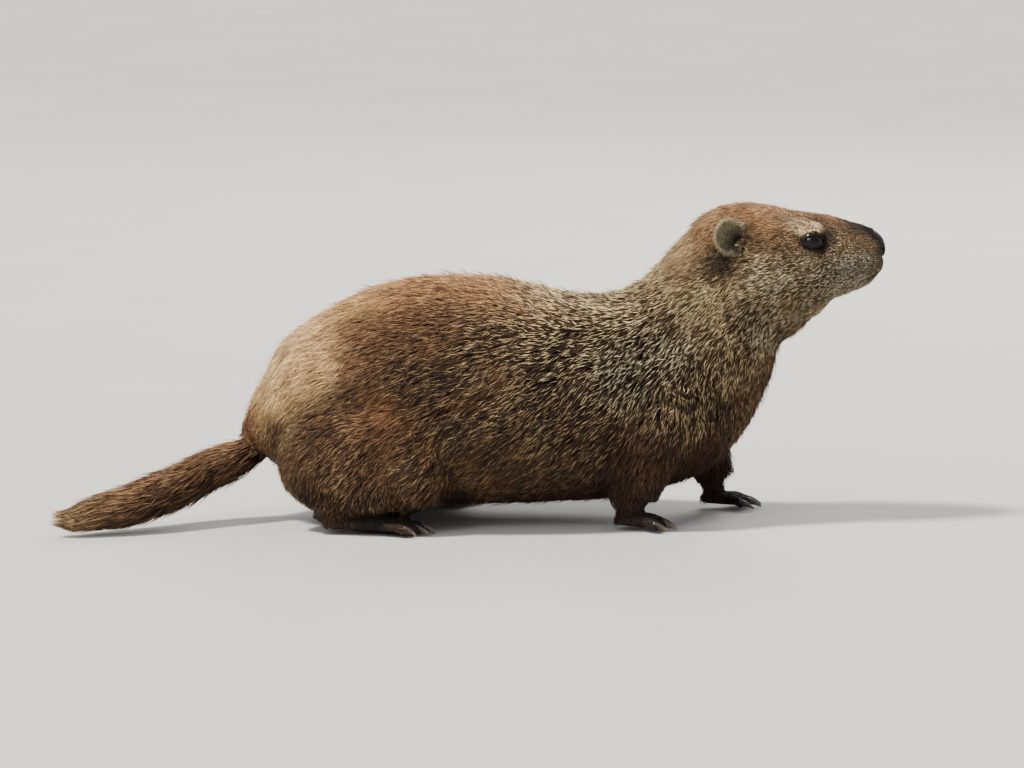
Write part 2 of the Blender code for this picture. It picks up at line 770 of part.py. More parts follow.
def finished(obj, name, home):
    """Moves a solid to the animal's collection under its own name, smooth and coloured."""
    largest_piece(obj)
    for old in list(obj.users_collection):
        old.objects.unlink(obj)
    home.objects.link(obj)
    obj.name = obj.data.name = name
    obj.data.materials.clear()
    obj.data.materials.append(material_for(name))
    obj.data.shade_smooth()
    obj.data.set_sharp_from_angle(angle=math.radians(50))
    obj.hide_render = False
    return obj


def centre_on_floor(objects):
    """Puts the middle of the whole's own box over the origin, with its lowest point at Z = 0."""
    spots = [v.co for obj in objects for v in obj.data.vertices]
    low = Vector([min(p[axis] for p in spots) for axis in range(3)])
    high = Vector([max(p[axis] for p in spots) for axis in range(3)])
    shift = Vector((-(low.x + high.x) / 2, -(low.y + high.y) / 2, -low.z))
    for obj in objects:
        obj.data.transform(Matrix.Translation(shift))


def build():
    clear_scene()
    animal = collection("groundhog")
    shop = collection("workshop", hidden=True)
    whole = flesh(shop)
    fine = thinned(copied(whole, "fine flesh"), HEAD_TRIANGLES)
    body = thinned(softened(whole, 24), BODY_TRIANGLES)

    nape, towards_head = across_ring(BODY[15], -4)
    breast, towards_neck = across_ring(BODY[13])
    head = combine(fine, half_space(shop, nape + towards_head * GAP / 2, -towards_head),
                   "DIFFERENCE")
    body = combine(body, half_space(shop, nape - towards_head * GAP / 2, towards_head),
                   "DIFFERENCE")

    parts = {}
    for leg in LEGS:
        upper = combine(copied(body, leg.name), block(shop, leg.block, leg.side), "INTERSECT")
        body = combine(body, block(shop, leg.block, leg.side, GAP), "DIFFERENCE")
        parts[leg.name + "_foot"], seat = foot(leg, shop)
        parts[leg.name + "_leg"] = combine(upper, seat, "DIFFERENCE")
    neck = combine(copied(body, "neck"),
                   half_space(shop, breast + towards_neck * GAP / 2, -towards_neck),
                   "DIFFERENCE")
    parts["neck"] = largest_piece(neck)
    torso = combine(body, half_space(shop, breast - towards_neck * GAP / 2, towards_neck),
                    "DIFFERENCE")
    parts["torso"] = largest_piece(torso)

    for side, name in ((-1, "right"), (1, "left")):
        parts[name + "_ear"], head = ear(name + "_ear", side, shop, head)
    for side, name in ((-1, "right"), (1, "left")):
        head = lids(head, side, shop)
        parts[name + "_eye"] = eye(name + "_eye", side, shop)
    parts["nose"], head = nose(shop, head)
    parts["head"] = mouth_line(largest_piece(head), shop)
    brush = tail(shop)
    for neighbour in ("torso", "right_hind_leg"):
        brush = combine(brush, inflated(parts[neighbour], GAP * 1.2), "DIFFERENCE")
    parts["tail"] = brush

    made = []
    for name, obj in parts.items():
        made.append(finished(obj, name, animal))
    centre_on_floor(made)
    for left_over in list(shop.objects):
        bpy.data.objects.remove(left_over)
    bpy.data.collections.remove(shop)


build()
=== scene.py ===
# %% [markdown]
# # A groundhog in its full coat
# The animal is a stout ground squirrel: small round ears, short legs, a bushy tail and a grizzled
# coat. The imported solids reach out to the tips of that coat. Here they get one skin that lies
# inside them, a coat of solid tufts from the skin out to their surface, and a finely made face.

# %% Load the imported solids
import math

import bpy
import numpy as np
from mathutils import Matrix, Vector, noise
from mathutils.bvhtree import BVHTree
from mathutils.kdtree import KDTree


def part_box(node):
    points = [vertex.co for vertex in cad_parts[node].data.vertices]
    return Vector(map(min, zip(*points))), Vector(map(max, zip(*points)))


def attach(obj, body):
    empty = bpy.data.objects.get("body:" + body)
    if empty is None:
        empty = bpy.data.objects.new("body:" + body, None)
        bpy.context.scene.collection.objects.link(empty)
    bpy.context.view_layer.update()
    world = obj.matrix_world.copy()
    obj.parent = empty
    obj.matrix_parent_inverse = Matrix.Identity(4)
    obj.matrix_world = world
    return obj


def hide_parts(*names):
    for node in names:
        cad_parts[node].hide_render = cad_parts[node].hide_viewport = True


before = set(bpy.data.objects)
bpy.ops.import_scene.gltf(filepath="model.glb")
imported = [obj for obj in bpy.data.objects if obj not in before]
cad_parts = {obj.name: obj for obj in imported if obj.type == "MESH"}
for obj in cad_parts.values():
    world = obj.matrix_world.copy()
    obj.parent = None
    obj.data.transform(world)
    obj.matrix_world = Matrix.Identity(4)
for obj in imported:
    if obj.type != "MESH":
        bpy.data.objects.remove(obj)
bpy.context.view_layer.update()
MM = 0.001

# %% [markdown]
# ## Camera and studio
# The animal is seen from its right side, a little above its back, through a long lens. The
# light is a plain studio: a warm, slightly soft sun high on the left, a wide fill and a rim.

# %% Place the camera
LOOK_AT = Vector((23.5, 0.0, 84.4)) * MM
CAMERA_HEIGHT_DEGREES = 7.5
CAMERA_DISTANCE = 3.527
LENS = 200.0


def link(name, data):
    """Puts a mesh, a light or a camera into the scene."""
    obj = bpy.data.objects.new(name, data)
    bpy.context.scene.collection.objects.link(obj)
    return obj


rise = math.radians(CAMERA_HEIGHT_DEGREES)
camera = link("camera", bpy.data.cameras.new("camera"))
camera.data.lens = LENS
camera.data.sensor_width = 36.0
camera.location = LOOK_AT + Vector((0, -math.cos(rise), math.sin(rise))) * CAMERA_DISTANCE
camera.rotation_euler = (math.pi / 2 - rise, 0, 0)
bpy.context.scene.camera = camera
print("camera at", [round(v, 3) for v in camera.location])

# %% Lay the floor and hang the lights
def named(name):
    """Gives the object that was just made its name."""
    obj = bpy.context.object
    obj.name = obj.data.name = name
    return obj


def primitive(operator, name, **settings):
    bpy.ops.object.select_all(action="DESELECT")
    operator(**settings)
    return named(name)


def lamp(name, kind, power, colour, heading, **settings):
    """A light that shines along a heading."""
    light = link(name, bpy.data.lights.new(name, kind))
    light.data.energy, light.data.color = power, colour
    for key, value in settings.items():
        setattr(light.data, key, value)
    light.rotation_euler = Vector(heading).to_track_quat("-Z", "Y").to_euler()
    return light


floor = primitive(bpy.ops.mesh.primitive_plane_add, "studio_floor", size=24, location=(0, 0, 0))
lamp("key", "SUN", 8.1, (1.0, 0.955, 0.88), (0.46, 0.16, -0.87), angle=math.radians(9))
for name, power, colour, size, place, target in (
        ("fill", 60, (0.92, 0.96, 1.0), 1.3, (-1.7, -2.5, 2.0), (0, 0, 0.08)),
        ("rim", 45, (1.0, 0.97, 0.92), 1.2, (0.7, 2.0, 1.5), (0, 0, 0.1))):
    light = lamp(name, "AREA", power, colour, Vector(target) - Vector(place),
                 shape="SQUARE", size=size)
    light.location = place

world = bpy.context.scene.world = bpy.data.worlds.new("studio")
world.use_nodes = True
world.node_tree.nodes["Background"].inputs["Color"].default_value = (0.91, 0.91, 0.92, 1)
world.node_tree.nodes["Background"].inputs["Strength"].default_value = 1.0

# %% [markdown]
# ## The coat, place by place
# A furrier would note, at each place on the pelt, which way the hair lies, how long it is, how
# deep the coat stands, and its two colours: the body of the hair and its pale tip. These notes
# are the stations below. Every point of the skin blends the stations that are near it, so the
# skin and the hair over it carry the same markings.

# %% The palette
def paint(red, green, blue):
    """A colour named by its screen values, as the shader wants it."""
    values = np.array((red, green, blue)) / 255
    return np.where(values > 0.04045, ((values + 0.055) / 1.055) ** 2.4, values / 12.92)


CHESTNUT = paint(124, 87, 58)
RUST = paint(92, 61, 41)
UMBER = paint(62, 45, 33)
SOOT = paint(34, 27, 23)
DARK_BROWN = paint(48, 35, 26)
REDDISH = paint(64, 43, 31)
TAN = paint(150, 120, 84)
GOLD = paint(184, 150, 106)
STRAW = paint(212, 188, 140)
CREAM = paint(218, 204, 166)
WHITISH = paint(228, 218, 198)
GREY_CREAM = paint(176, 166, 134)
GRIZZLE = paint(106, 93, 70)
SAND = paint(172, 145, 104)
ORANGE = paint(150, 114, 74)
BROWN = paint(88, 68, 48)
BLACK = paint(22, 18, 17)
print("the palette is mixed")

# %% The stations, in millimetres; Y counts outwards from the mid-plane
# place, lie of the hair, length, depth of the coat, colour, tip colour, share of pale tips
STATIONS = [
    # bridge of the nose, forehead and crown
    ((247, 4, 179), (-1, 0.1, 0.5), 3.5, 0.5, SOOT * 0.8, SOOT, 0.3),
    ((240, 3, 183), (-1, 0.1, 0.4), 4, 0.8, SOOT, UMBER, 0.3),
    ((233, 6, 186), (-1, 0.1, 0.3), 5, 1.0, UMBER, TAN, 0.35),
    ((224, 6, 189), (-1, 0.15, 0.2), 6.5, 1.3, CHESTNUT * 0.8, TAN, 0.45),
    ((208, 8, 192), (-1, 0.15, 0.1), 7.5, 1.6, CHESTNUT * 0.85, GOLD, 0.4),
    ((192, 12, 195), (-1, 0.2, 0.1), 9, 2.2, CHESTNUT * 0.9, GOLD, 0.5),
    ((176, 12, 198), (-1, 0.2, 0), 10.5, 2.8, CHESTNUT * 0.9, GOLD, 0.5),
    ((160, 10, 197), (-1, 0.15, -0.1), 11.5, 3.5, CHESTNUT * 1.05, STRAW * 0.9, 0.5),
    ((186, 27, 186), (-1, 0.1, 0), 8.5, 2.0, CHESTNUT, GOLD, 0.5),
    # round the eye and the ear
    ((209, 21, 184), (-1, 0.2, 0.3), 4, 0.8, SAND, CREAM * 1.1, 0.9),
    ((203, 24, 182), (-1, 0.2, 0.2), 5, 0.9, TAN, CREAM, 0.8),
    ((214, 14, 188), (-1, 0.2, 0.2), 5, 0.9, UMBER, TAN, 0.4),
    ((218, 19, 176), (-1, 0.2, -0.1), 4, 0.6, SOOT, UMBER, 0.4),
    ((212, 22, 169), (-1, 0.2, -0.2), 4.5, 0.8, BROWN, STRAW, 0.5),
    ((196, 29, 176), (-1, 0.1, -0.15), 5.5, 1.2, BROWN, SAND, 0.6),
    ((205, 27, 165), (-1, 0.1, -0.3), 5.5, 1.2, GRIZZLE * 0.9, CREAM * 1.1, 0.75),
    ((176, 33, 178), (-1, 0.1, -0.1), 9, 2.0, BROWN, TAN, 0.5),
    ((168, 36, 172), (-1, 0.1, -0.2), 10.5, 2.5, BROWN, STRAW, 0.7),
    ((158, 40, 165), (-0.9, 0, -0.7), 10.5, 3.5, SOOT, UMBER, 0.3),
    # muzzle, lips and chin
    ((243, 12, 173), (-1, 0.3, 0), 3.5, 0.5, BROWN, SAND, 0.5),
    ((247, 9, 166), (-1, 0.4, -0.1), 3, 0.4, UMBER, GRIZZLE * 1.3, 0.5),
    ((244, 13, 163), (-1, 0.3, -0.3), 5, 0.7, GRIZZLE * 0.9, WHITISH * 1.15, 0.8),
    ((249, 7, 159), (-0.7, 0.3, -0.7), 3.5, 0.6, GRIZZLE * 0.9, CREAM * 1.2, 0.75),
    ((232, 18, 160), (-1, 0.2, -0.35), 6, 1.0, GRIZZLE * 0.9, WHITISH * 1.15, 0.8),
    ((238, 15, 154), (-0.6, 0.1, -1), 5.5, 0.8, GRIZZLE, WHITISH * 1.15, 0.85),
    ((230, 17, 172), (-1, 0.2, -0.05), 5.5, 0.9, BROWN, STRAW, 0.5),
    ((243, 3, 149), (-0.8, 0.1, -0.8), 6, 1.2, GRIZZLE, WHITISH * 1.1, 0.8),
    ((230, 8, 146), (-1, 0.1, -0.5), 7.5, 1.8, GRIZZLE * 0.9, CREAM * 1.2, 0.75),
    # cheeks, jaw and throat
    ((215, 25, 155), (-1, 0.15, -0.3), 8, 1.8, UMBER, CREAM * 1.25, 0.7),
    ((198, 33, 158), (-1, 0.15, -0.25), 9.5, 2.6, BROWN, CREAM * 1.25, 0.75),
    ((182, 37, 160), (-1, 0.1, -0.25), 11, 3.5, BROWN, CREAM * 1.1, 0.7),
    ((196, 30, 142), (-1, 0.1, -0.6), 11, 3.5, BROWN, CREAM, 0.65),
    ((215, 12, 138), (-0.9, 0.1, -0.7), 9.5, 2.8, BROWN, CREAM, 0.7),
    ((203, 6, 122), (-0.6, 0.1, -1), 12, 4.5, UMBER, SAND, 0.5),
    ((180, 30, 130), (-0.8, 0.05, -0.8), 13, 5, UMBER, CREAM * 1.15, 0.68),
    # nape and neck
    ((148, 14, 190), (-1, 0.1, -0.5), 13, 5, CHESTNUT * 1.2, STRAW, 0.65),
    ((128, 14, 175), (-1, 0.1, -0.7), 14, 6, TAN, STRAW * 1.15, 0.85),
    ((110, 12, 156), (-1, 0.1, -0.5), 15, 6.5, BROWN, STRAW * 1.3, 0.85),
    ((158, 40, 152), (-0.8, 0, -0.7), 13, 5, BROWN, STRAW * 1.25, 0.75),
    ((145, 42, 145), (-0.8, 0, -0.8), 14, 6, BROWN, STRAW * 1.35, 0.75),
    ((165, 36, 118), (-0.6, 0, -1), 14, 6, UMBER, STRAW * 1.25, 0.65),
    ((190, 10, 100), (-0.2, 0.1, -1), 14, 6, REDDISH, TAN, 0.5),
    # shoulders and chest
    ((95, 30, 148), (-1, 0.2, -0.3), 15.5, 7, BROWN * 1.1, STRAW * 1.5, 0.9),
    ((125, 48, 118), (-0.7, 0, -0.9), 15.5, 7, UMBER, CREAM * 1.15, 0.65),
    ((100, 55, 105), (-0.8, 0, -0.8), 17, 7, DARK_BROWN, CREAM * 1.1, 0.62),
    ((130, 46, 85), (-0.4, 0, -1), 15.5, 7, UMBER, STRAW, 0.6),
    ((165, 28, 80), (-0.2, 0.1, -1), 14.5, 6.5, UMBER, SAND, 0.5),
    ((182, 8, 75), (-0.1, 0.1, -1), 14, 6, REDDISH * 1.2, TAN, 0.45),
    ((155, 10, 42), (-0.6, 0.1, -0.8), 12.5, 5, REDDISH, RUST, 0.4),
    ((75, 55, 60), (-0.9, 0, -0.6), 14.5, 6, UMBER, SAND, 0.4),
    # back, from the withers to the root of the tail
    ((60, 14, 144), (-1, 0.2, 0), 17, 7, BROWN, STRAW * 1.15, 0.75),
    ((40, 15, 148), (-1, 0.2, 0), 17.5, 7, BROWN * 1.1, GOLD * 1.15, 0.65),
    ((20, 16, 150), (-1, 0.2, 0), 17.5, 7, CHESTNUT, ORANGE * 1.75, 0.65),
    ((-25, 16, 152), (-1, 0.2, -0.1), 18, 7, CHESTNUT * 0.95, ORANGE * 1.7, 0.65),
    ((-65, 16, 143), (-1, 0.15, -0.4), 18, 7, ORANGE * 1.2, GOLD * 1.15, 0.55),
    # rump: its own golden colour, made paler still with painted sunlight falling from the upper
    # left and behind
    ((-98, 16, 126), (-1, 0.1, -0.6), 17.5, 7, GOLD * 1.2, GOLD * 1.75, 0.65),
    ((-124, 12, 98), (-0.8, 0.1, -0.9), 15.5, 6, GOLD * 1.6, GOLD * 1.95 + STRAW * 0.1, 0.75),
    ((-112, 36, 94), (-0.8, 0.1, -0.8), 15.5, 6, GOLD * 1.6, GOLD * 1.95 + STRAW * 0.1, 0.75),
    ((-138, 8, 66), (-0.8, 0.1, -0.7), 14, 4, CHESTNUT, GOLD, 0.5),
    # flanks and belly
    ((60, 60, 115), (-1, 0, -0.4), 17.5, 7, DARK_BROWN, STRAW, 0.55),
    ((15, 66, 120), (-1, 0, -0.4), 17.5, 7, DARK_BROWN, SAND, 0.45),
    ((-25, 62, 128), (-1, 0, -0.35), 17.5, 7, RUST * 0.7, TAN * 0.9, 0.3),
    ((-30, 72, 100), (-1, 0, -0.45), 17.5, 7, DARK_BROWN, TAN, 0.35),
    ((50, 66, 75), (-0.95, 0, -0.6), 17.5, 7, DARK_BROWN, SAND, 0.45),
    ((0, 76, 80), (-1, 0, -0.5), 17.5, 7, DARK_BROWN, SAND, 0.4),
    ((30, 68, 40), (-0.9, 0, -0.6), 16.5, 6, UMBER * 1.15, TAN * 1.15, 0.45),
    ((-25, 70, 40), (-0.9, 0, -0.6), 16.5, 6, UMBER * 1.15, TAN * 1.15, 0.45),
    ((30, 10, 12), (-1, 0.2, -0.1), 15, 4.5, DARK_BROWN, RUST, 0.35),
    ((-50, 10, 13), (-1, 0.2, -0.1), 15, 4.5, DARK_BROWN, RUST, 0.35),
    ((95, 10, 20), (-1, 0.2, 0), 11.5, 4, REDDISH, RUST, 0.3),
    # haunch and thigh
    ((-60, 62, 122), (-1, 0, -0.45), 17.5, 7, RUST, TAN, 0.4),
    # upper haunch: golden colour with painted sunlight from the upper left and behind, as on the
    # rump
    ((-92, 52, 104), (-1, 0, -0.5), 17, 7, GOLD * 1.2, GOLD * 1.7, 0.6),
    ((-53, 76, 80), (-1, 0, -0.5), 16, 6.5, RUST * 1.2, ORANGE * 1.1, 0.4),
    ((-72, 74, 88), (-1, 0, -0.5), 16, 6.5, DARK_BROWN, TAN, 0.35),
    ((-90, 68, 72), (-0.95, 0, -0.6), 15.5, 6, REDDISH, TAN, 0.5),
    ((-75, 76, 45), (-0.8, 0, -0.8), 14, 5, REDDISH * 1.1, SAND, 0.55),
    ((-115, 45, 60), (-0.7, 0.1, -0.9), 14.5, 5, BROWN, SAND * 1.1, 0.5),
    ((-120, 15, 38), (-0.6, 0.1, -0.8), 12.5, 4, SOOT, REDDISH, 0.3),
    # legs and feet
    ((-85, 60, 24), (-0.4, 0, -1), 8.5, 2.5, REDDISH, TAN, 0.45),
    ((-45, 62, 26), (-0.4, 0, -1), 8.5, 2.5, REDDISH, TAN, 0.45),
    ((105, 52, 48), (-0.4, 0, -1), 12, 4, REDDISH, CHESTNUT, 0.4),
    ((150, 45, 45), (-0.3, 0, -1), 11, 3.5, REDDISH, RUST, 0.4),
    ((98, 50, 25), (-0.2, 0, -1), 9.5, 2, REDDISH * 0.8, REDDISH, 0.4),
    ((152, 44, 25), (-0.2, 0, -1), 9.5, 2, REDDISH * 0.8, REDDISH, 0.4),
    ((105, 46, 10), (1, 0.05, -0.3), 4, 0.5, SOOT, UMBER, 0.3),
    ((162, 43, 10), (1, 0.05, -0.3), 4, 0.5, SOOT, UMBER, 0.3),
    ((-60, 60, 9), (1, 0.05, -0.2), 4.5, 0.5, SOOT, UMBER, 0.3),
    ((-20, 62, 9), (1, 0.05, -0.2), 4.5, 0.5, SOOT, UMBER, 0.3),
    ((-92, 60, 8), (0.2, 0.1, -1), 5, 1.0, SOOT, UMBER, 0.3),
    ((120, 46, 6), (1, 0.05, -0.3), 3.5, 0.2, BLACK, SOOT, 0.3),
    ((-35, 62, 6), (1, 0.05, -0.3), 3.5, 0.2, BLACK, SOOT, 0.3),
]
PLACES, LIES = (np.array([station[k] for station in STATIONS], float) for k in (0, 1))
LIES /= np.linalg.norm(LIES, axis=1, keepdims=True)
NOTES = np.array([(s[2], s[3], *s[4], *s[5], s[6]) for s in STATIONS], float)
SOFTNESS = 9.0
MIDLINE = 6.0


def read_stations(points):
    """Blends the stations near each point (mm): (lie, length, depth, colour, tip, pale share)."""
    folded = points * (1, 0, 1)
    folded[:, 1] = np.abs(points[:, 1])
    gaps = ((folded[:, None, :] - PLACES[None]) ** 2).sum(-1) + SOFTNESS
    weights = gaps ** -2.0
    weights /= weights.sum(1, keepdims=True)
    lie = weights @ LIES
    lie[:, 1] *= np.sign(points[:, 1]) * np.clip(np.abs(points[:, 1]) / MIDLINE, 0, 1)
    notes = weights @ NOTES
    return lie, notes[:, 0], notes[:, 1], notes[:, 2:5], notes[:, 5:8], notes[:, 8]


print("stations:", len(STATIONS))

# %% [markdown]
# ## The skin
# Under the coat there is one skin without seams. The solids of flesh are copied, swollen a
# little so that they close the thin cuts between them, grown together on a fine grid, eased,
# and then drawn in by the depth of the coat at each place. The tail's skin is only its core,
# found by cutting the tail's solid into slices and taking the middle of each.

# %% Read where the tail runs from its own solid
def read_vectors(items, key):
    """One vector for each point of a mesh, as rows."""
    flat = np.empty(len(items) * 3, np.float32)
    items.foreach_get(key, flat)
    return flat.reshape(-1, 3).astype(float)


def node_points(name):
    """A node's vertices in millimetres."""
    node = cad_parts[name]
    to_world = np.array(node.matrix_world)
    return (read_vectors(node.data.vertices, "co") @ to_world[:3, :3].T + to_world[:3, 3]) / MM


TAIL_SLICES = 11
tail_points = node_points("tail")
ends = tail_points[np.argsort(tail_points[:, 0])]
tip, root = ends[:20].mean(0), ends[-60:].mean(0)
axis = (tip - root) / np.linalg.norm(tip - root)
reach_along = (tail_points - root) @ axis
marks = np.linspace(0, reach_along.max(), TAIL_SLICES + 1)
tail_line, tail_reach = [], []
for near, far in zip(marks, marks[1:]):
    part = tail_points[(reach_along >= near - 4) & (reach_along <= far + 4)]
    middle = (part.min(0) + part.max(0)) / 2
    middle += axis * ((near + far) / 2 - (middle - root) @ axis)
    across = part - middle
    across -= np.outer(across @ axis, axis)
    tail_line.append(middle)
    tail_reach.append(np.percentile(np.linalg.norm(across, axis=1), 92))
tail_line = np.array([tail_line[0] - axis * 16, *tail_line, tip])
tail_reach = np.array([tail_reach[0], *tail_reach, 2.0])
print("tail reach by slice:", np.round(tail_reach, 1))


# %% Helpers for meshes
def only(obj):
    """Selects one object and makes it the active one."""
    bpy.ops.object.select_all(action="DESELECT")
    obj.select_set(True)
    bpy.context.view_layer.objects.active = obj


def apply(obj, kind, **settings):
    """Adds a modifier with its settings and applies it."""
    only(obj)
    modifier = obj.modifiers.new(kind.lower(), kind)
    for key, value in settings.items():
        setattr(modifier, key, value)
    bpy.ops.object.modifier_apply(modifier=modifier.name)


def in_edit_mode(obj, operator, **settings):
    """Runs a mesh operator on all of an object."""
    only(obj)
    bpy.ops.object.mode_set(mode="EDIT")
    bpy.ops.mesh.select_all(action="SELECT")
    operator(**settings)
    bpy.ops.object.mode_set(mode="OBJECT")
    return obj


def joined(pieces, name):
    """One object out of several."""
    only(pieces[0])
    for piece in pieces:
        piece.select_set(True)
    bpy.ops.object.join()
    return named(name)


def read_points(mesh):
    return read_vectors(mesh.vertices, "co")


def write_points(mesh, points):
    mesh.vertices.foreach_set("co", points.astype(np.float32).ravel())
    mesh.update()


def copy_of(node_name, name):
    """A welded copy of a CAD node, for a piece that takes its shape from it."""
    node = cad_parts[node_name]
    mesh = node.data.copy()
    mesh.transform(node.matrix_world)
    mesh.materials.clear()
    return in_edit_mode(link(name, mesh), bpy.ops.mesh.remove_doubles, threshold=0.00002)


def at_steps(line, at, steps=None):
    """Places on a line of points."""
    steps = range(len(line)) if steps is None else steps
    return np.stack([np.interp(at, steps, line[:, k]) for k in range(3)], axis=1)


def note(mesh, name, values):
    """Writes a value or a colour to each point of a mesh."""
    values = np.asarray(values, np.float32)
    if values.ndim == 1:
        mesh.attributes.new(name, "FLOAT", "POINT").data.foreach_set("value", values)
    else:
        values = np.concatenate([values, np.ones((len(values), 1), np.float32)], axis=1)
        mesh.attributes.new(name, "FLOAT_COLOR", "POINT").data.foreach_set("color", values.ravel())


# %% Grow the skin together
SIDES = ("right", "left")
FLESH = ["head", "neck", "torso"]
FLESH += [f"{side}_{limb}" for side in SIDES for limb in ("ear", "fore_leg", "hind_leg")]
SWELL = 0.45
SKIN_GRID = 1.1
TAIL_SKIN_SHARE = 0.40


def tube(name, line, radii, sides):
    """A closed round tube through the points of a line, both in millimetres."""
    curve = bpy.data.curves.new(name, "CURVE")
    curve.dimensions = "3D"
    curve.bevel_depth = MM
    curve.bevel_resolution = max(0, sides // 4 - 1)
    curve.use_fill_caps = True
    spline = curve.splines.new("POLY")
    spline.points.add(len(line) - 1)
    for point, place, radius in zip(spline.points, line, radii):
        point.co = (*(np.array(place) * MM), 1)
        point.radius = radius
    only(link(name, curve))
    bpy.ops.object.convert(target="MESH")
    return in_edit_mode(bpy.context.object, bpy.ops.mesh.remove_doubles, threshold=0.000002)


# leg: x of the heel, y, x of the toes, turn outwards, width, number of toes, length of a claw
FEET = {"right_hind": (-95.3, -60.2, -27.3, 3, 27, 5, 9),
        "left_hind": (-61.3, 59.8, 6.7, 4, 27, 5, 9),
        "right_fore": (83.7, -46.2, 120.7, 3, 24, 4, 11),
        "left_fore": (139.7, 41.8, 176.7, 5, 24, 4, 11)}
TOE = 4.0
TOE_SPREAD = math.radians(9)
SOLE_UP = np.array((0, 0, 6.2))
SOLE_FLATNESS = 0.58
# places along the sole with their half-widths, as shares
SOLE = ((0.04, 0.42), (0.14, 0.62), (0.42, 0.7), (0.66, 0.78), (0.78, 0.6))
claw_places = []


def foot_flesh(limb, plan):
    """A flat sole, an ankle that runs up into the leg, and toes in a fan; notes where claws go."""
    heel_x, y, toe_x, turn, width, toes, claw = plan
    side = math.copysign(1, y)
    yaw = math.radians(turn) * side
    forward = np.array((math.cos(yaw), math.sin(yaw), 0))
    outward = np.array((-math.sin(yaw), math.cos(yaw), 0)) * side
    heel, length, half = np.array((heel_x, y, 0.0)), toe_x - heel_x, width / 2
    sole = tube("sole", [heel + forward * length * s for s, _ in SOLE],
                [half * r for _, r in SOLE], 16)
    write_points(sole.data, read_points(sole.data) * (1, 1, SOLE_FLATNESS) + SOLE_UP * MM)
    leg = node_points(limb + "_leg")
    low = leg[leg[:, 2] < leg[:, 2].min() + 5]
    centre, reach = (low.min(0) + low.max(0)) / 2, (low.max(0) - low.min(0))[:2].mean() / 2
    line = [centre + (0, 0, 9), centre, heel + forward * length * 0.3 + (0, 0, 7.5)]
    made = [sole, tube("ankle", line, [reach * 0.92, reach * 0.86, half * 0.52], 16)]
    if "hind" in limb:
        for name, course, radii in (("hock", ((3, 7), (6, 17), (12, 30)), [7.5, 9.0, 13.0]),
                                    ("shank", ((8, 15), (26, 19), (42, 21)), [8.5, 10.0, 9.0])):
            line = [heel + forward * ahead + (0, 0, up) for ahead, up in course]
            made.append(tube(name, line, radii, 16))
    for number in range(toes):
        spread = number / (toes - 1) * 2 - 1
        start = heel + forward * length * 0.58 + outward * spread * half * 0.62 + SOLE_UP
        shorter = 1 - 0.16 * abs(spread - 0.1) ** 1.5
        end = heel + forward * (length * shorter - 3) + outward * spread * half * 1.12
        line = [start, start * 0.5 + end * 0.5 + (0, 0, 2.9), start * 0.2 + end * 0.8 + (0, 0, 3.6),
                end + (0, 0, 3.7), end + forward * 2.0 + (0, 0, 3.5)]
        made.append(tube("toe", line, [TOE * 1.1, TOE, TOE * 1.08, TOE * 0.95, TOE * 0.5], 12))
        toe_yaw = yaw + TOE_SPREAD * spread * side
        claw_places.append((end + (0, 0, 4.0), toe_yaw, claw * (1 - 0.12 * abs(spread))))
    return made


pieces = []
for limb, plan in FEET.items():
    pieces += foot_flesh(limb, plan)
for node_name in FLESH:
    piece = copy_of(node_name, "flesh_" + node_name)
    apply(piece, "DISPLACE", strength=SWELL * MM, mid_level=0.0)
    pieces.append(piece)
core = tube("tail_core", tail_line[:-2], tail_reach[:-2] * TAIL_SKIN_SHARE, 12)
skin = joined(pieces + [core], "skin")
apply(skin, "REMESH", mode="VOXEL", voxel_size=SKIN_GRID * MM)
apply(skin, "SMOOTH", iterations=3, factor=0.5)
in_edit_mode(skin, bpy.ops.mesh.separate, type="LOOSE")
parts = sorted(bpy.context.selected_objects, key=lambda part: len(part.data.vertices))
skin = parts.pop()
for crumb in parts:
    bpy.data.objects.remove(crumb)
skin.name = skin.data.name = "skin"
print("skin on the grid:", len(skin.data.vertices), "points;", len(parts), "loose crumbs left out")

# %% [markdown]
# The skin is drawn in by the depth of the coat. It moves in a few short steps, each along fresh
# normals and each eased, so that thin folds do not turn inside out. Ears and tail keep their
# own surface. Then the body, which the coat hides, is thinned out, and the head stays fine.

# %% Draw the skin in by the depth of the coat
DRAW_STEPS = 4
EAR_REACH = 14.0
TAIL_STARTS = -133.0
LOWEST = 0.15


def tail_distance(points):
    """How far along the tail's line the nearest place is, and how far away."""
    best, where, travelled = np.full(len(points), 1e9), np.zeros(len(points)), 0.0
    for a, b in zip(tail_line, tail_line[1:]):
        step = b - a
        length = np.linalg.norm(step)
        t = np.clip(((points - a) @ step) / length ** 2, 0, 1)
        gap = np.linalg.norm(points - (a + t[:, None] * step), axis=1)
        nearer = gap < best
        best = np.where(nearer, gap, best)
        where = np.where(nearer, travelled + t * length, where)
        travelled += length
    return where, best


def is_tail(points):
    """True for the places of the tail's skin."""
    return (points[:, 0] < TAIL_STARTS) & (tail_distance(points)[1] < tail_reach.max() * 0.75)


def middle_of(name):
    low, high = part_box(name)
    return (np.array(low) + np.array(high)) / 2 / MM


EYES, EARS = ({side: middle_of(f"{side}_{part}") for side in SIDES} for part in ("eye", "ear"))
EYE_RADIUS = (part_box("right_eye")[1][0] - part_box("right_eye")[0][0]) / 2 / MM


def near_any(points, spots, reach):
    """1 at the spots, falling to 0 at the reach."""
    gaps = np.min([np.linalg.norm(points - spot, axis=1) for spot in spots], axis=0)
    return np.clip(1 - gaps / reach, 0, 1)


def tree_of(name):
    """A search tree over the surface of a CAD node, in millimetres."""
    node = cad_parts[name]
    polygons = [tuple(face.vertices) for face in node.data.polygons]
    return BVHTree.FromPolygons(node_points(name).tolist(), polygons)


EAR_TREES, HEAD_TREE = [tree_of(side + "_ear") for side in SIDES], tree_of("head")


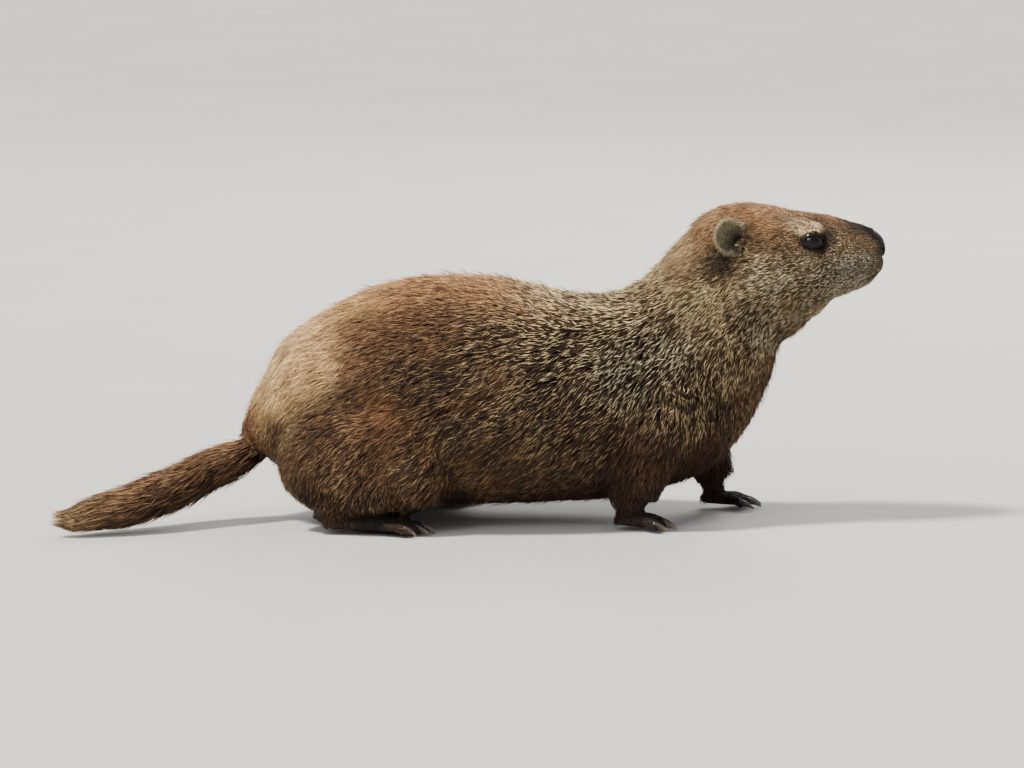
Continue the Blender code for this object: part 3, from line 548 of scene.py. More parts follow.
def belongs_to_ear(points):
    """True where a place lies nearer to the solid of an ear than to that of the head."""
    close = np.flatnonzero(near_any(points, EARS.values(), EAR_REACH + 4) > 0)
    mine = np.zeros(len(points), bool)
    for index in close:
        place = Vector(points[index])
        gap = min(tree.find_nearest(place)[3] for tree in EAR_TREES)
        mine[index] = gap < 1.4 and gap < HEAD_TREE.find_nearest(place)[3] + 0.4
    return mine


NOSE_MIDDLE = np.array((246.8, -0.2, 172.3))
NOSE_RADII = np.array((6.5, 7.2, 10.0))
NOSE_TURN = np.array(Matrix.Rotation(math.radians(-35), 3, "Y"))


def from_nose(points):
    """1 on the egg that the nose pad is made from, more outside it."""
    return np.linalg.norm((points - NOSE_MIDDLE) @ NOSE_TURN / NOSE_RADII, axis=1)


skin_points = read_points(skin.data) / MM
depth = read_stations(skin_points)[2] + SWELL
beside = np.clip((np.abs(skin_points[:, 1]) - 3) / 4, 0, 1) * (skin_points[:, 2] > 164)
depth += 2.0 * np.clip((1.45 - from_nose(skin_points)) / 0.4, 0, 1) * beside
depth[belongs_to_ear(skin_points)] = SWELL
depth[is_tail(skin_points)] = 0
for step in range(DRAW_STEPS):
    normals = read_vectors(skin.data.vertex_normals, "vector")
    write_points(skin.data, read_points(skin.data) - normals * (depth * MM / DRAW_STEPS)[:, None])
    apply(skin, "SMOOTH", iterations=1, factor=0.4)
print("coat depth from", round(depth.min(), 2), "to", round(depth.max(), 2), "mm")

# %% Thin the body out under the coat
HEAD_PLANE = (np.array((164.0, 0.0, 148.8)), np.array((0.843, 0.0, 0.538)))
NECK_PLANE = (np.array((143.5, 0.0, 112.8)), np.array((0.872, 0.0, 0.49)))


def beyond(points, plane):
    return (points - plane[0]) @ plane[1]


skin_points = read_points(skin.data) / MM
plain = skin.vertex_groups.new(name="plain")
plain.add(np.flatnonzero(beyond(skin_points, HEAD_PLANE) < -4).tolist(), 1.0, "REPLACE")
apply(skin, "DECIMATE", ratio=0.42, vertex_group="plain")
skin.vertex_groups.clear()
apply(skin, "TRIANGULATE")
skin_points = read_points(skin.data) / MM
bridge = np.exp(-((skin_points[:, 0] - 242) / 6.5) ** 2 - (skin_points[:, 1] / 7) ** 2)
skin_points[:, 2] += 2.2 * bridge * np.clip((skin_points[:, 2] - 170) / 8, 0, 1)
egg = from_nose(skin_points)
over_pad = 0.85 + 0.19 * np.clip((skin_points[:, 2] - 174.5) / 3, 0, 1)
covers = (egg < over_pad) & (skin_points[:, 2] > 172)
on_pad = NOSE_MIDDLE + (skin_points - NOSE_MIDDLE) * (over_pad / egg)[:, None]
skin_points[covers] = on_pad[covers]
skin_points[:, 2] = np.maximum(skin_points[:, 2], LOWEST)
write_points(skin.data, skin_points * MM)
print("skin:", len(skin.data.polygons), "triangles")

# %% [markdown]
# ## Where the features of the face sit
# Each eye has its own frame: level, upwards and outwards. Hair keeps off the eyelids, so the
# frames are settled before the coat.

# %% Frames of the eyes
EYE_OUT = {"right": (0.28, -0.93, 0.20), "left": (0.28, 0.93, 0.20)}
LID_SPAN = (7.7, 5.1)
BALL = 7.7


def frame_facing(outward):
    """Columns: level (towards the nose), upwards and outwards, for a feature on the face."""
    out = np.array(outward, float) / np.linalg.norm(outward)
    level = np.cross((0.0, 0.0, 1.0), out)
    level = level / np.linalg.norm(level) * np.sign(level[0])
    upward = np.cross(out, level)
    return np.stack([level, upward * np.sign(upward[2]), out], axis=1)


EYE_TURNS = {}
for side, middle in EYES.items():
    turn = frame_facing(EYE_OUT[side])
    EYE_TURNS[side] = (middle - turn[:, 2] * (BALL - EYE_RADIUS - 0.15), turn)
print("eye middles:", {side: np.round(eye, 1).tolist() for side, eye in EYES.items()})

# %% Dish the skin behind the lids
# how far the dish reaches, in degrees: towards the nose and away from it, then up and down
DISH_LEVEL, DISH_UP = (84, 70), 36
for eye_middle, turn in EYE_TURNS.values():
    local = (skin_points - eye_middle) @ turn
    reach = np.linalg.norm(local, axis=1)
    level_span = np.radians(np.where(local[:, 0] > 0, *DISH_LEVEL))
    off = np.hypot(np.arctan2(local[:, 0], local[:, 2]) / level_span,
                   np.arcsin((local[:, 1] / reach).clip(-1, 1)) / math.radians(DISH_UP))
    limit = BALL - 0.9 + np.clip(off - 1, 0, None) * 6
    dished = (local[:, 2] > 0) & (reach > limit) & (reach < BALL + 6)
    skin_points[dished] = eye_middle + (local / reach[:, None] * limit[:, None])[dished] @ turn.T
    print("points moved behind the lids:", dished.sum())
write_points(skin.data, skin_points * MM)

# %% [markdown]
# ## The mouth
# The lips close in a dark line that starts under the nose, runs down and back and ends in the
# cheek. Its places are taken from the photo's side of the head and laid onto the skin.

# %% Lay the line of the mouth onto the skin
MOUTH = [(252, 0, 158.8), (251.4, 3.5, 158.4), (249.2, 8, 155.4), (246.4, 10.5, 153.2),
         (243.4, 12.5, 151.8), (240, 14.5, 150.9), (236.5, 16, 150.2), (232.5, 17, 150.3),
         (228.5, 18, 150.9)]
mouth_line = np.array([(x, -y, z) for x, y, z in MOUTH[::-1]] + MOUTH[1:])

# %% [markdown]
# ## The coat
# Each hair tuft is a thin solid blade of ten triangles: a three-cornered root, a three-cornered
# middle and a point. Its root sits in the skin, its middle and its point are found by walking
# over the skin along the lie of the hair, so that it follows the body's curves and rises to the
# coat's full depth. Neighbours lean together into small pointed locks, as real hair does.

# %% What the tufts need of the skin
SEED = 41
draw = np.random.default_rng(SEED)
noise.seed_set(SEED)  # left alone, Blender's noise follows the clock
corners = np.empty(len(skin.data.polygons) * 3, np.int32)
skin.data.polygons.foreach_get("vertices", corners)
corners = corners.reshape(-1, 3)
face_corners = skin_points[corners]
face_middles = face_corners.mean(1)
face_crosses = np.cross(face_corners[:, 1] - face_corners[:, 0],
                        face_corners[:, 2] - face_corners[:, 0])
face_areas = np.linalg.norm(face_crosses, axis=1) / 2
face_normals = face_crosses / (2 * face_areas[:, None] + 1e-12)
skin_tree = BVHTree.FromPolygons(skin_points.tolist(), corners.tolist())
print("skin area:", round(face_areas.sum() / 100), "square cm")


def on_skin(points):
    """The nearest places on the skin to the points, and the skin's directions there."""
    found = [skin_tree.find_nearest(point)[:2] for point in points.tolist()]
    return np.array([f[0] for f in found]), np.array([f[1] for f in found])


def unit(vectors):
    return vectors / (np.linalg.norm(vectors, axis=-1, keepdims=True) + 1e-12)


def flat_on(vectors, normals):
    """The vectors with what points along the normals taken away, at length 1."""
    return unit(vectors - normals * (vectors * normals).sum(1, keepdims=True))


def scatter(mask, count, weights=None):
    """Roots spread evenly by area over the faces of a mask: places and directions."""
    chosen = np.flatnonzero(mask)
    share = face_areas[chosen] * (1 if weights is None else weights[chosen])
    steps = np.cumsum(share) / share.sum()
    order = (np.arange(count) + draw.random(count)) / count
    faces = chosen[np.searchsorted(steps, order).clip(0, len(chosen) - 1)]
    u, v = draw.random(count), draw.random(count)
    over = u + v > 1
    u[over], v[over] = 1 - u[over], 1 - v[over]
    a, b, c = face_corners[faces, 0], face_corners[faces, 1], face_corners[faces, 2]
    return a + (b - a) * u[:, None] + (c - a) * v[:, None], face_normals[faces]


def wander(points, scale, seed):
    """A smooth random vector at each point, that changes over the scale in millimetres."""
    shift = Vector((seed * 17.3, seed * 5.1, -seed * 9.7))
    return np.array([noise.noise_vector(Vector(p) / scale + shift) for p in points.tolist()])


# %% Comb the hair round the eyes and off the ears
EYE_CALM, EAR_CALM = 15.0, 20.0
HAIR_SPREAD = 0.2
GUARD_SHARE = 0.09
STRAY = 1.15
ROOT_DEPTH = 0.35
# the least and the most of a hair's length and lift, as shares of what its place asks for
LENGTHS, LIFTS, GUARD_LIFTS = (0.62, 1.12), (0.55, 1.0), (1.15, 1.7)
# ovals in the eye's own frame: middle and half-widths
DARK_RING, BROW = ((1.6, -0.8), (9.6, 5.4)), ((-1.0, 6.3), (8.8, 3.0))


def calm(points):
    """Shortens the hair close to the eyes and the ears."""
    by_eye = np.clip(1 - near_any(points, EYES.values(), EYE_CALM) * 1.1, 0.5, 1)
    return by_eye * np.clip(1 - near_any(points, EARS.values(), EAR_CALM), 0.55, 1)


def steered(points, lie):
    """The lie of the hair, parted round each eye."""
    for eye_middle in EYES.values():
        away_from_eye = points - eye_middle
        distance = np.linalg.norm(away_from_eye, axis=1, keepdims=True)
        push = np.clip((EYE_CALM - distance) / 7.0, 0, 1)
        lie = lie * (1 - 0.55 * push) + away_from_eye / distance * push * 0.9
    return lie


def in_oval(local, oval, edge, softness):
    """1 inside an oval of the eye's frame, falling to 0 past its edge."""
    (level, up), (half_level, half_up) = oval
    off = np.hypot((local[:, 0] - level) / half_level, (local[:, 1] - up) / half_up)
    return np.clip((edge - off) / softness, 0, 1)


def blend(colour, other, share):
    return colour * (1 - share) + other * share


def comb(points, normals):
    """The three places of each tuft (root, middle and tip), with its colours."""
    lie, length, coat_depth, colour, tip_colour, pale = read_stations(points)
    lie = steered(points, lie)
    on_head = np.clip(beyond(points, HEAD_PLANE) / 10, 0, 1)[:, None]
    lie += (wander(points, 18.0, 1) * 0.28 + wander(points, 6.0, 2) * 0.18) * (1 - 0.65 * on_head)
    lie += draw.normal(0, HAIR_SPREAD, lie.shape) * (1 - 0.45 * on_head)
    length = length * draw.uniform(*LENGTHS, len(length)) * calm(points)
    lift = coat_depth * draw.uniform(*LIFTS, len(length))
    guard = draw.random(len(length)) < GUARD_SHARE
    lift[guard] *= draw.uniform(*GUARD_LIFTS, guard.sum())
    heading = flat_on(lie, normals)
    half_place, half_normal = on_skin(points + heading * (length * 0.5)[:, None])
    turned = flat_on(heading + draw.normal(0, 0.06, heading.shape), half_normal)
    free_end = half_place + turned * (length * 0.5)[:, None]
    end_place, end_normal = on_skin(free_end)
    looseness = np.select([end_place[:, 2] < 35, end_place[:, 2] < 75], [1.0, 0.8], 0.35)
    hang = np.clip(-end_normal[:, 2] * 2.0 - 0.15, 0, 1) * looseness
    end_place += (free_end - end_place) * hang[:, None]
    for eye_middle, turn in EYE_TURNS.values():
        local = (points - eye_middle) @ turn
        dark = (in_oval(local, DARK_RING, 1.08, 0.16) * (local[:, 2] > 0))[:, None] * 0.9
        brow = (in_oval(local, BROW, 1.2, 0.3) * (local[:, 2] > -3))[:, None] * 0.9
        colour = blend(blend(colour, SOOT, dark), SAND * 1.3, brow)
        tip_colour = blend(blend(tip_colour, SOOT, dark), WHITISH * 1.1, brow)
        pale = np.maximum(pale, brow[:, 0])
    astray = np.linalg.norm(end_place - points, axis=1) / length > STRAY
    half_place[astray] = points[astray] + (heading * (length * 0.3)[:, None])[astray]
    end_place[astray] = points[astray] + (heading * (length * 0.6)[:, None])[astray]
    half_normal[astray] = end_normal[astray] = normals[astray]
    root = points - normals * ROOT_DEPTH
    middle = half_place + half_normal * (lift * 0.68)[:, None]
    tip = end_place + end_normal * lift[:, None]
    return root, middle, tip, colour, tip_colour, pale


def gathered(root, middle, tip, lock_size, pull):
    """Leans each tuft towards the point of the lock that it belongs to."""
    count = len(root)
    leaders = draw.choice(count, max(1, int(count / lock_size)), replace=False)
    tree = KDTree(len(leaders))
    for number, leader in enumerate(leaders):
        tree.insert(root[leader], number)
    tree.balance()
    own = leaders[[tree.find(place)[1] for place in root.tolist()]]
    strength = pull * draw.uniform(0.5, 1.0, count)[:, None]
    strength *= np.clip(2.2 - np.linalg.norm(tip[own] - tip, axis=1) / 5, 0, 1)[:, None]
    return middle + (middle[own] - middle) * strength * 0.45, tip + (tip[own] - tip) * strength


# %% Build one piece of the coat from its tufts
BLADE_FACES = [(0, 1, 4, 3), (1, 2, 5, 4), (2, 0, 3, 5), (3, 4, 6), (4, 5, 6), (5, 3, 6), (2, 1, 0)]
ALONG = (0, 0, 0, 0.5, 0.5, 0.5, 1)
BAKE_PATCH = 0.003
PALEST = 0.92


def coat_piece(name, root, middle, tip, width, colours, tip_colours, bake_place):
    """One mesh of solid blades, with their markings and their place on the bake map."""
    count = len(root)
    heading = unit(tip - root)
    _, outward = on_skin(middle)
    across = unit(np.cross(heading, outward))
    roll = draw.uniform(-0.7, 0.7, count)[:, None]
    upward = unit(np.cross(across, heading))
    side = across * np.cos(roll) + upward * np.sin(roll)
    ridge = upward * np.cos(roll) - across * np.sin(roll)
    half = (width / 2)[:, None]
    points = np.empty((count, 7, 3))
    for ring, (place, swell) in enumerate(((root, 0.75), (middle, 1.0))):
        points[:, ring * 3 + 0] = place + side * half * swell
        points[:, ring * 3 + 1] = place + ridge * half * swell * 0.7
        points[:, ring * 3 + 2] = place - side * half * swell
    points[:, 6] = tip
    points[:, :, 2] = np.maximum(points[:, :, 2], LOWEST)
    mesh = bpy.data.meshes.new(name)
    corner_list = np.concatenate(BLADE_FACES)
    sizes = [len(face) for face in BLADE_FACES]
    loops = (corner_list[None] + 7 * np.arange(count)[:, None]).ravel()
    starts = np.concatenate([[0], np.cumsum(np.tile(sizes, count))[:-1]])
    mesh.vertices.add(count * 7)
    mesh.vertices.foreach_set("co", (points * MM).astype(np.float32).ravel())
    mesh.loops.add(len(loops))
    mesh.loops.foreach_set("vertex_index", loops.astype(np.int32))
    mesh.polygons.add(len(starts))
    mesh.polygons.foreach_set("loop_start", starts.astype(np.int32))
    mesh.update(calc_edges=True)
    note(mesh, "along", np.tile(ALONG, count))
    note(mesh, "coat", np.repeat(colours.clip(0, PALEST), 7, axis=0))
    note(mesh, "tip", np.repeat(tip_colours.clip(0, PALEST), 7, axis=0))
    offsets = np.stack([(0, 0.5, 1, 0, 0.5, 1, 0.5), ALONG], axis=1) * BAKE_PATCH
    uv = (bake_place[:, None, :] + offsets[None])[:, corner_list, :]
    mesh.uv_layers.new(name="OFBake").uv.foreach_set("vector", uv.astype(np.float32).ravel())
    mesh.polygons.foreach_set("use_smooth", np.ones(len(starts), bool))
    print(name, count, "tufts,", count * 10, "triangles")
    return link(name, mesh)


def unwrapped(points, start, end, cell=(0.0, 0.0, 1.0, 1.0)):
    """Unrolls a stretch of the skin round its own axis onto a cell of the bake map."""
    start, end = np.array(start, float), np.array(end, float)
    axis, from_start = unit(end - start), points - start
    along = from_start @ axis
    up = unit(np.array((0.0, 0.0, 1.0)) - axis * axis[2])
    level = np.cross(axis, up)
    angle = np.arctan2(from_start @ level, from_start @ up)
    flat = np.stack([along, angle], axis=1)
    low, high = flat.min(0), flat.max(0)
    flat = (flat - low) / (high - low + 1e-9)
    corner, size = np.array(cell[:2]), np.array(cell[2:]) - np.array(cell[:2])
    return corner + 0.004 + flat * (size - 0.012)


# %% [markdown]
# The body's own coat comes in pieces of the size of a real pelt's parts. Each is sown over its
# own stretch of skin: a tuft's pale tip is drawn by the share of pale tips at its place, and no
# tuft grows on the eyelids, the nose pad, the lips or the inside of the ears.

# %% Say where each piece of the coat grows
TAIL_FACE = is_tail(face_middles)
HEAD_FACE = beyond(face_middles, HEAD_PLANE) > 0
NECK_FACE = (beyond(face_middles, NECK_PLANE) > 0) & ~HEAD_FACE
LOW_FACE = (face_middles[:, 2] < 30) & (np.abs(face_middles[:, 1]) > 26)
BODY_FACE = ~(HEAD_FACE | NECK_FACE | LOW_FACE | TAIL_FACE)
RIGHT_FACE = face_middles[:, 1] < 0
on_ears = belongs_to_ear(face_middles)
bare = on_ears.copy()
for eye_middle, turn in EYE_TURNS.values():
    local = (face_middles - eye_middle) @ turn
    bare |= (((local[:, :2] / LID_SPAN) ** 2).sum(1) < 0.9) & (local[:, 2] > 0)
bare |= (from_nose(face_middles) < 1.04) & (face_middles[:, 2] < 176)
mouth_line = on_skin(mouth_line)[0]
MOUTH_MARKS = 200
mouth_gap = KDTree(MOUTH_MARKS)
at = np.arange(MOUTH_MARKS) / (MOUTH_MARKS - 1) * (len(mouth_line) - 1)
for number, place in enumerate(at_steps(mouth_line, at)):
    mouth_gap.insert(place, number)
mouth_gap.balance()
for index in np.flatnonzero(HEAD_FACE & (face_middles[:, 0] > 222) & (face_middles[:, 2] < 165)):
    bare[index] |= mouth_gap.find(face_middles[index])[2] < 0.9
SHOULDER_LINE, LOIN_LINE = 55.0, -45.0
x = face_middles[:, 0]
front_of_body = BODY_FACE & (x > SHOULDER_LINE)
middle_of_body = BODY_FACE & (x <= SHOULDER_LINE) & (x > LOIN_LINE)
rear_of_body = BODY_FACE & (x <= LOIN_LINE)

# name, faces, number of tufts, width of a tuft, size of a lock, pull of a lock, axis of its unwrap
HEAD_AXIS, SHOULDER_AXIS = ((150, 0, 165), (250, 0, 165)), ((60, 0, 85), (170, 0, 85))
COAT = [("coat_head_right", HEAD_FACE & RIGHT_FACE, 18500, 0.50, 4, 0.12, HEAD_AXIS),
        ("coat_head_left", HEAD_FACE & ~RIGHT_FACE, 18500, 0.50, 4, 0.12, HEAD_AXIS),
        ("coat_neck", NECK_FACE, 16500, 0.55, 3, 0.14, ((130, 0, 130), (175, 0, 150))),
        ("coat_shoulders", front_of_body, 18500, 0.60, 3, 0.2, SHOULDER_AXIS)]
for part, faces, part_axis in (("flank", middle_of_body, ((-45, 0, 80), (55, 0, 80))),
                               ("haunch", rear_of_body, ((-150, 0, 70), (-45, 0, 70)))):
    COAT += [(f"coat_{part}_right", faces & RIGHT_FACE, 14500, 0.63, 3, 0.2, part_axis),
             (f"coat_{part}_left", faces & ~RIGHT_FACE, 12500, 0.67, 3, 0.2, part_axis)]


def tinted(places, colour, tip_colour, pale):
    """Each tuft's own pair of colours: some tips are pale, some as dark as the hair."""
    count = len(pale)
    patches = wander(places, 15.0, 5)[:, :2]
    is_pale = draw.random(count) < pale * (0.85 + 0.6 * patches[:, 0])
    streak = wander(places * (0.4, 1.0, 1.0), 3.2, 8)[:, :1]
    light = draw.normal(1.0, 0.2, (count, 1)).clip(0.5, 1.6) * (1 + 0.55 * streak)
    warm = np.clip(patches[:, 1:2] * 1.2, 0, 0.6) * np.clip((80 - places[:, :1]) / 60, 0, 1)
    body_colour = blend(colour, RUST, warm) * light
    tip_light = draw.normal(1.0, 0.18, (count, 1)).clip(0.5, 1.5) * (1.05 + 0.35 * streak)
    tips = np.where(is_pale[:, None], tip_colour * tip_light, body_colour * 1.15)
    return body_colour, tips


coat = []
for name, faces, count, width, lock_size, pull, axis_ends in COAT:
    roots, normals = scatter(faces & ~bare, count)
    root, middle, tip, colour, tip_colour, pale = comb(roots, normals)
    middle, tip = gathered(root, middle, tip, lock_size, pull)
    body_colour, tips = tinted(roots, colour, tip_colour, pale)
    length = np.linalg.norm(tip - root, axis=1)
    widths = width * np.clip(length / 12, 0.65, 1.0) * draw.uniform(0.75, 1.25, count)
    coat.append(coat_piece(name, root, middle, tip, widths, body_colour, tips,
                           unwrapped(roots, *axis_ends)))

# %% The coat of the legs and feet, with a cell of the bake map for each limb
LEG_TUFTS = 12500
under_sole = (face_middles[:, 2] < 2.6) | ((face_middles[:, 2] < 6) & (face_normals[:, 2] < -0.3))
denser_on_feet = np.where(face_middles[:, 2] < 14, 2.0, 1.0)
roots, normals = scatter(LOW_FACE & ~under_sole, LEG_TUFTS, denser_on_feet)
root, middle, tip, colour, tip_colour, pale = comb(roots, normals)
body_colour, tips = tinted(roots, colour, tip_colour, pale)
length = np.linalg.norm(tip - root, axis=1)
widths = 0.8 * np.clip(length / 9, 0.5, 1.0) * draw.uniform(0.75, 1.25, LEG_TUFTS)
leg_map = np.empty((LEG_TUFTS, 2))
for front in (0, 1):
    for left in (0, 1):
        own = ((roots[:, 0] > 40) == front) & ((roots[:, 1] > 0) == left)
        centre = roots[own].mean(0)
        cell = (left * 0.5, front * 0.5, left * 0.5 + 0.5, front * 0.5 + 0.5)
        leg_map[own] = unwrapped(roots[own], centre - (40, 0, 0), centre + (40, 0, 0), cell)
coat.append(coat_piece("coat_legs", root, middle, tip, widths, body_colour, tips, leg_map))

# %% The short fur of the ears, pale on the rim
EAR_TUFTS = 2600
roots, normals = scatter(on_ears, EAR_TUFTS)
EAR_OUT = np.array([(0.46, -0.86, 0.06), (0.46, 0.86, 0.06)])
CANAL = np.array([(162.0, -37.0, 176.5), (162.0, 37.0, 176.5)])
nearest = np.argmin([np.linalg.norm(roots - middle, axis=1) for middle in EARS.values()], axis=0)
ear_middles, ear_out = np.array(list(EARS.values()))[nearest], EAR_OUT[nearest]
rim_height = ((roots - ear_middles) * ear_out).sum(1)
inside = (normals * ear_out).sum(1) > 0.1
outwards = flat_on(roots - ear_middles + ear_out * 5 + draw.normal(0, 1.5, roots.shape), normals)
hair = np.where(inside, 2.8, 3.0) * draw.uniform(0.6, 1.1, EAR_TUFTS)
rise = np.where(inside, 0.35, 0.5) * draw.uniform(0.5, 1.2, EAR_TUFTS)
root = roots - normals * 0.2
to_rim = np.clip((rim_height + 1.2) / 3.0, 0, 1)[:, None]
hair *= 1 - 0.4 * to_rim[:, 0]
middle = roots + outwards * (hair * 0.5)[:, None] + normals * (rise * 0.7)[:, None]
tip = roots + outwards * hair[:, None] + normals * rise[:, None]
high_and_back = roots[:, 2] - roots[:, 0] - (ear_middles[:, 2] - ear_middles[:, 0])
to_rim *= np.clip(0.6 + high_and_back / 10, 0, 1)[:, None]
# the inside of the ear is painted dark round the canal, as shade in its hollow, and lighter away
# from it
from_canal = np.linalg.norm((roots - CANAL[nearest]) * (1, 0.5, 1), axis=1)
clear_of_canal_shade = np.clip((from_canal - 4.5) / 7.0, 0, 1)[:, None] ** 1.3
inner_colour_and_canal_shade = blend(SOOT * 0.4, GREY_CREAM * 0.62, clear_of_canal_shade)
colour = blend(np.where(inside[:, None], inner_colour_and_canal_shade, TAN * 0.8), SAND * 1.1, to_rim)
mixed = draw.normal(1.0, 0.35, (EAR_TUFTS, 1)).clip(0.35, 1.8)
colour *= np.where(inside[:, None], mixed, 1.0)
body_colour, tips = tinted(root, colour, blend(colour, WHITISH, to_rim * 0.85),
                           np.full(EAR_TUFTS, 0.7))
ear_map = np.empty((EAR_TUFTS, 2))
for left in (0, 1):
    own = nearest == left
    flat = roots[own][:, [0, 2]]
    flat = (flat - flat.min(0)) / (flat.max(0) - flat.min(0))
    ear_map[own] = flat * (0.48, 0.98) + (left * 0.5 + 0.005, 0.005)
coat.append(coat_piece("coat_ears", root, middle, tip, draw.uniform(0.25, 0.45, EAR_TUFTS),
                       body_colour, tips, ear_map))

# %% [markdown]
# ## The brush of the tail
# The tail's long hair starts in its core, lies back along the tail and fans out at the end. It
# is sown by its distance along the tail and its angle round it. The top is reddish brown, the
# sides and underside are nearly black, and the end is a paler brown.

# %% Sow the tail
TAIL_TUFTS = 12500
TAIL_HAIR, BRUSH = 34.0, 11.5
HEADING_STEP = 9
line_steps = np.concatenate([[0], np.cumsum(np.linalg.norm(np.diff(tail_line, axis=0), axis=1))])
TAIL_LENGTH = line_steps[-1]


def along_the_tail(distance):
    """Place, sideways and upwards directions and reach of the hair, at each distance."""
    place, ahead, behind = (at_steps(tail_line, distance + step, line_steps)
                            for step in (0, HEADING_STEP, -HEADING_STEP))
    heading = unit(ahead - behind)
    sideways = unit(np.cross(heading, np.array((0.0, 0.0, 1.0))))
    upwards = np.cross(sideways, heading)
    reach = np.maximum(np.interp(distance, line_steps, tail_reach), BRUSH)
    reach *= 1 - 0.6 * np.clip((distance - TAIL_LENGTH + 26) / 26, 0, 1) ** 1.5
    return place, heading, sideways, upwards, reach


def tail_spots(distance, angle, share):
    """Places round the tail at a share of its hair's reach."""
    place, heading, sideways, upwards, reach = along_the_tail(distance)
    ring = sideways * np.cos(angle)[:, None] + upwards * np.sin(angle)[:, None]
    beyond_end = np.clip(distance - TAIL_LENGTH, 0, None)
    spots = place + ring * (np.maximum(reach, 3.0) * share)[:, None] + heading * beyond_end[:, None]
    spots[:, 2] = np.maximum(spots[:, 2], 2 * LOWEST)
    return spots


start = draw.uniform(0, TAIL_LENGTH - 16, TAIL_TUFTS)
angle = draw.uniform(-math.pi, math.pi, TAIL_TUFTS)
reach_out = draw.uniform(0.4, 1.0, TAIL_TUFTS) ** 0.6 * draw.choice([1, 1, 1, 1.12], TAIL_TUFTS)
hair = TAIL_HAIR * draw.uniform(0.6, 1.1, TAIL_TUFTS)
hair = np.minimum(hair, TAIL_LENGTH - start + draw.normal(-7, 8, TAIL_TUFTS).clip(-40, 4)).clip(10)
swing = angle + draw.normal(0, 0.28, TAIL_TUFTS)
root = tail_spots(start, angle, np.full(TAIL_TUFTS, 0.34))
middle = tail_spots(start + hair * 0.5, (angle + swing) / 2, reach_out * 0.78)
tip = tail_spots(start + hair, swing, reach_out)
middle, tip = gathered(root, middle, tip, 5, 0.3)
top_share = np.clip(np.sin(angle) * 2.0 - 0.7, 0, 1)[:, None]
end_share = np.clip((start + hair - TAIL_LENGTH + 40) / 34, 0, 1)[:, None] * 0.7
colour = blend(blend(DARK_BROWN, RUST, top_share), BROWN, end_share)
tip_colour = blend(blend(CHESTNUT, TAN, top_share), SAND, end_share)
body_colour, tips = tinted(root, colour, tip_colour, np.full(TAIL_TUFTS, 0.55))
widths = draw.uniform(0.6, 1.0, TAIL_TUFTS)
tail_map = np.stack([start / TAIL_LENGTH, (angle + math.pi) / (2 * math.pi)], axis=1)
coat.append(coat_piece("coat_tail", root, middle, tip, widths, body_colour, tips,
                       tail_map * 0.985 + 0.004))
print("coat triangles in all:", sum(len(piece.data.vertices) for piece in coat) // 7 * 10)

# %% [markdown]
# ## The eyes
# The eye is a dark ball with a slightly raised cornea. Its pupil, iris and rim are told by the
# angle from where it looks. Two lids close round it: one torus, reshaped on the ball into an
# almond with a pointed front corner, a thicker upper lid with a fold, and a dark wet rim.

# %% Make the eyeballs and the lids
# half the opening of the lids in degrees: level, the front corner's extra, upwards and downwards
OPEN_LEVEL, CORNER, OPEN_UP, OPEN_DOWN = 54, 14, 23.5, 30
CORNEA = 0.05
eyes, eyelids = [], []
for side, (eye_middle, turn) in EYE_TURNS.items():
    eye = primitive(bpy.ops.mesh.primitive_uv_sphere_add, side + "_eyeball",
                    segments=64, ring_count=44, radius=1.0)
    ball = read_points(eye.data)
    off_axis = np.arccos(ball[:, 2].clip(-1, 1))
    ball *= (BALL * (1 + CORNEA * np.exp(-(off_axis / 0.5) ** 2)))[:, None]
    write_points(eye.data, (eye_middle + ball @ turn.T) * MM)
    note(eye.data, "off_axis", off_axis)
    eyes.append(eye)

    lid = primitive(bpy.ops.mesh.primitive_torus_add, side + "_eyelids",
                    major_segments=96, minor_segments=20, major_radius=1, minor_radius=0.3)
    ring = read_points(lid.data)
    round_eye = np.arctan2(ring[:, 1], ring[:, 0])
    across = np.arctan2(ring[:, 2], np.hypot(ring[:, 0], ring[:, 1]) - 1.0)
    sine, cosine = np.sin(round_eye), np.cos(round_eye)
    upper, front = np.clip(sine, 0, 1), np.clip(cosine, 0, 1)
    outer = (1 + np.cos(across)) / 2
    widen = 1 + outer * (0.3 + 0.1 * upper)
    level = (math.radians(OPEN_LEVEL) * cosine + math.radians(CORNER) * front ** 8) * widen
    up = np.radians(np.where(sine > 0, OPEN_UP, OPEN_DOWN)) * sine * np.abs(sine) ** 0.25
    up *= (1 - 0.35 * front ** 2) * widen
    fold = 0.28 * np.exp(-((outer - 0.62) / 0.09) ** 2) * (0.4 + upper)
    lift = np.sin(across) * (0.7 + 0.3 * upper) * (1 - 0.4 * outer)
    height = 0.3 + np.where(lift < 0, lift * 3, lift) - 0.8 * outer ** 2
    height -= fold * (np.sin(across) > 0)
    spot = np.stack([np.sin(level) * np.cos(up), np.sin(up), np.cos(level) * np.cos(up)], axis=1)
    spot *= (BALL + height)[:, None]
    write_points(lid.data, (eye_middle + spot @ turn.T) * MM)
    note(lid.data, "outer", outer)
    eyelids.append(lid)
print("eyes and lids:", [len(piece.data.vertices) for piece in eyes + eyelids])

# %% [markdown]
# ## Nose pad and lips
# The nose is a bare, black, finely pebbled pad. Two comma-shaped nostrils open to its sides and
# a groove runs down its middle to the upper lip. The pad is an egg that leans back, into which
# the nostrils and the groove are pressed. The lips are one thin dark line with tapered ends.

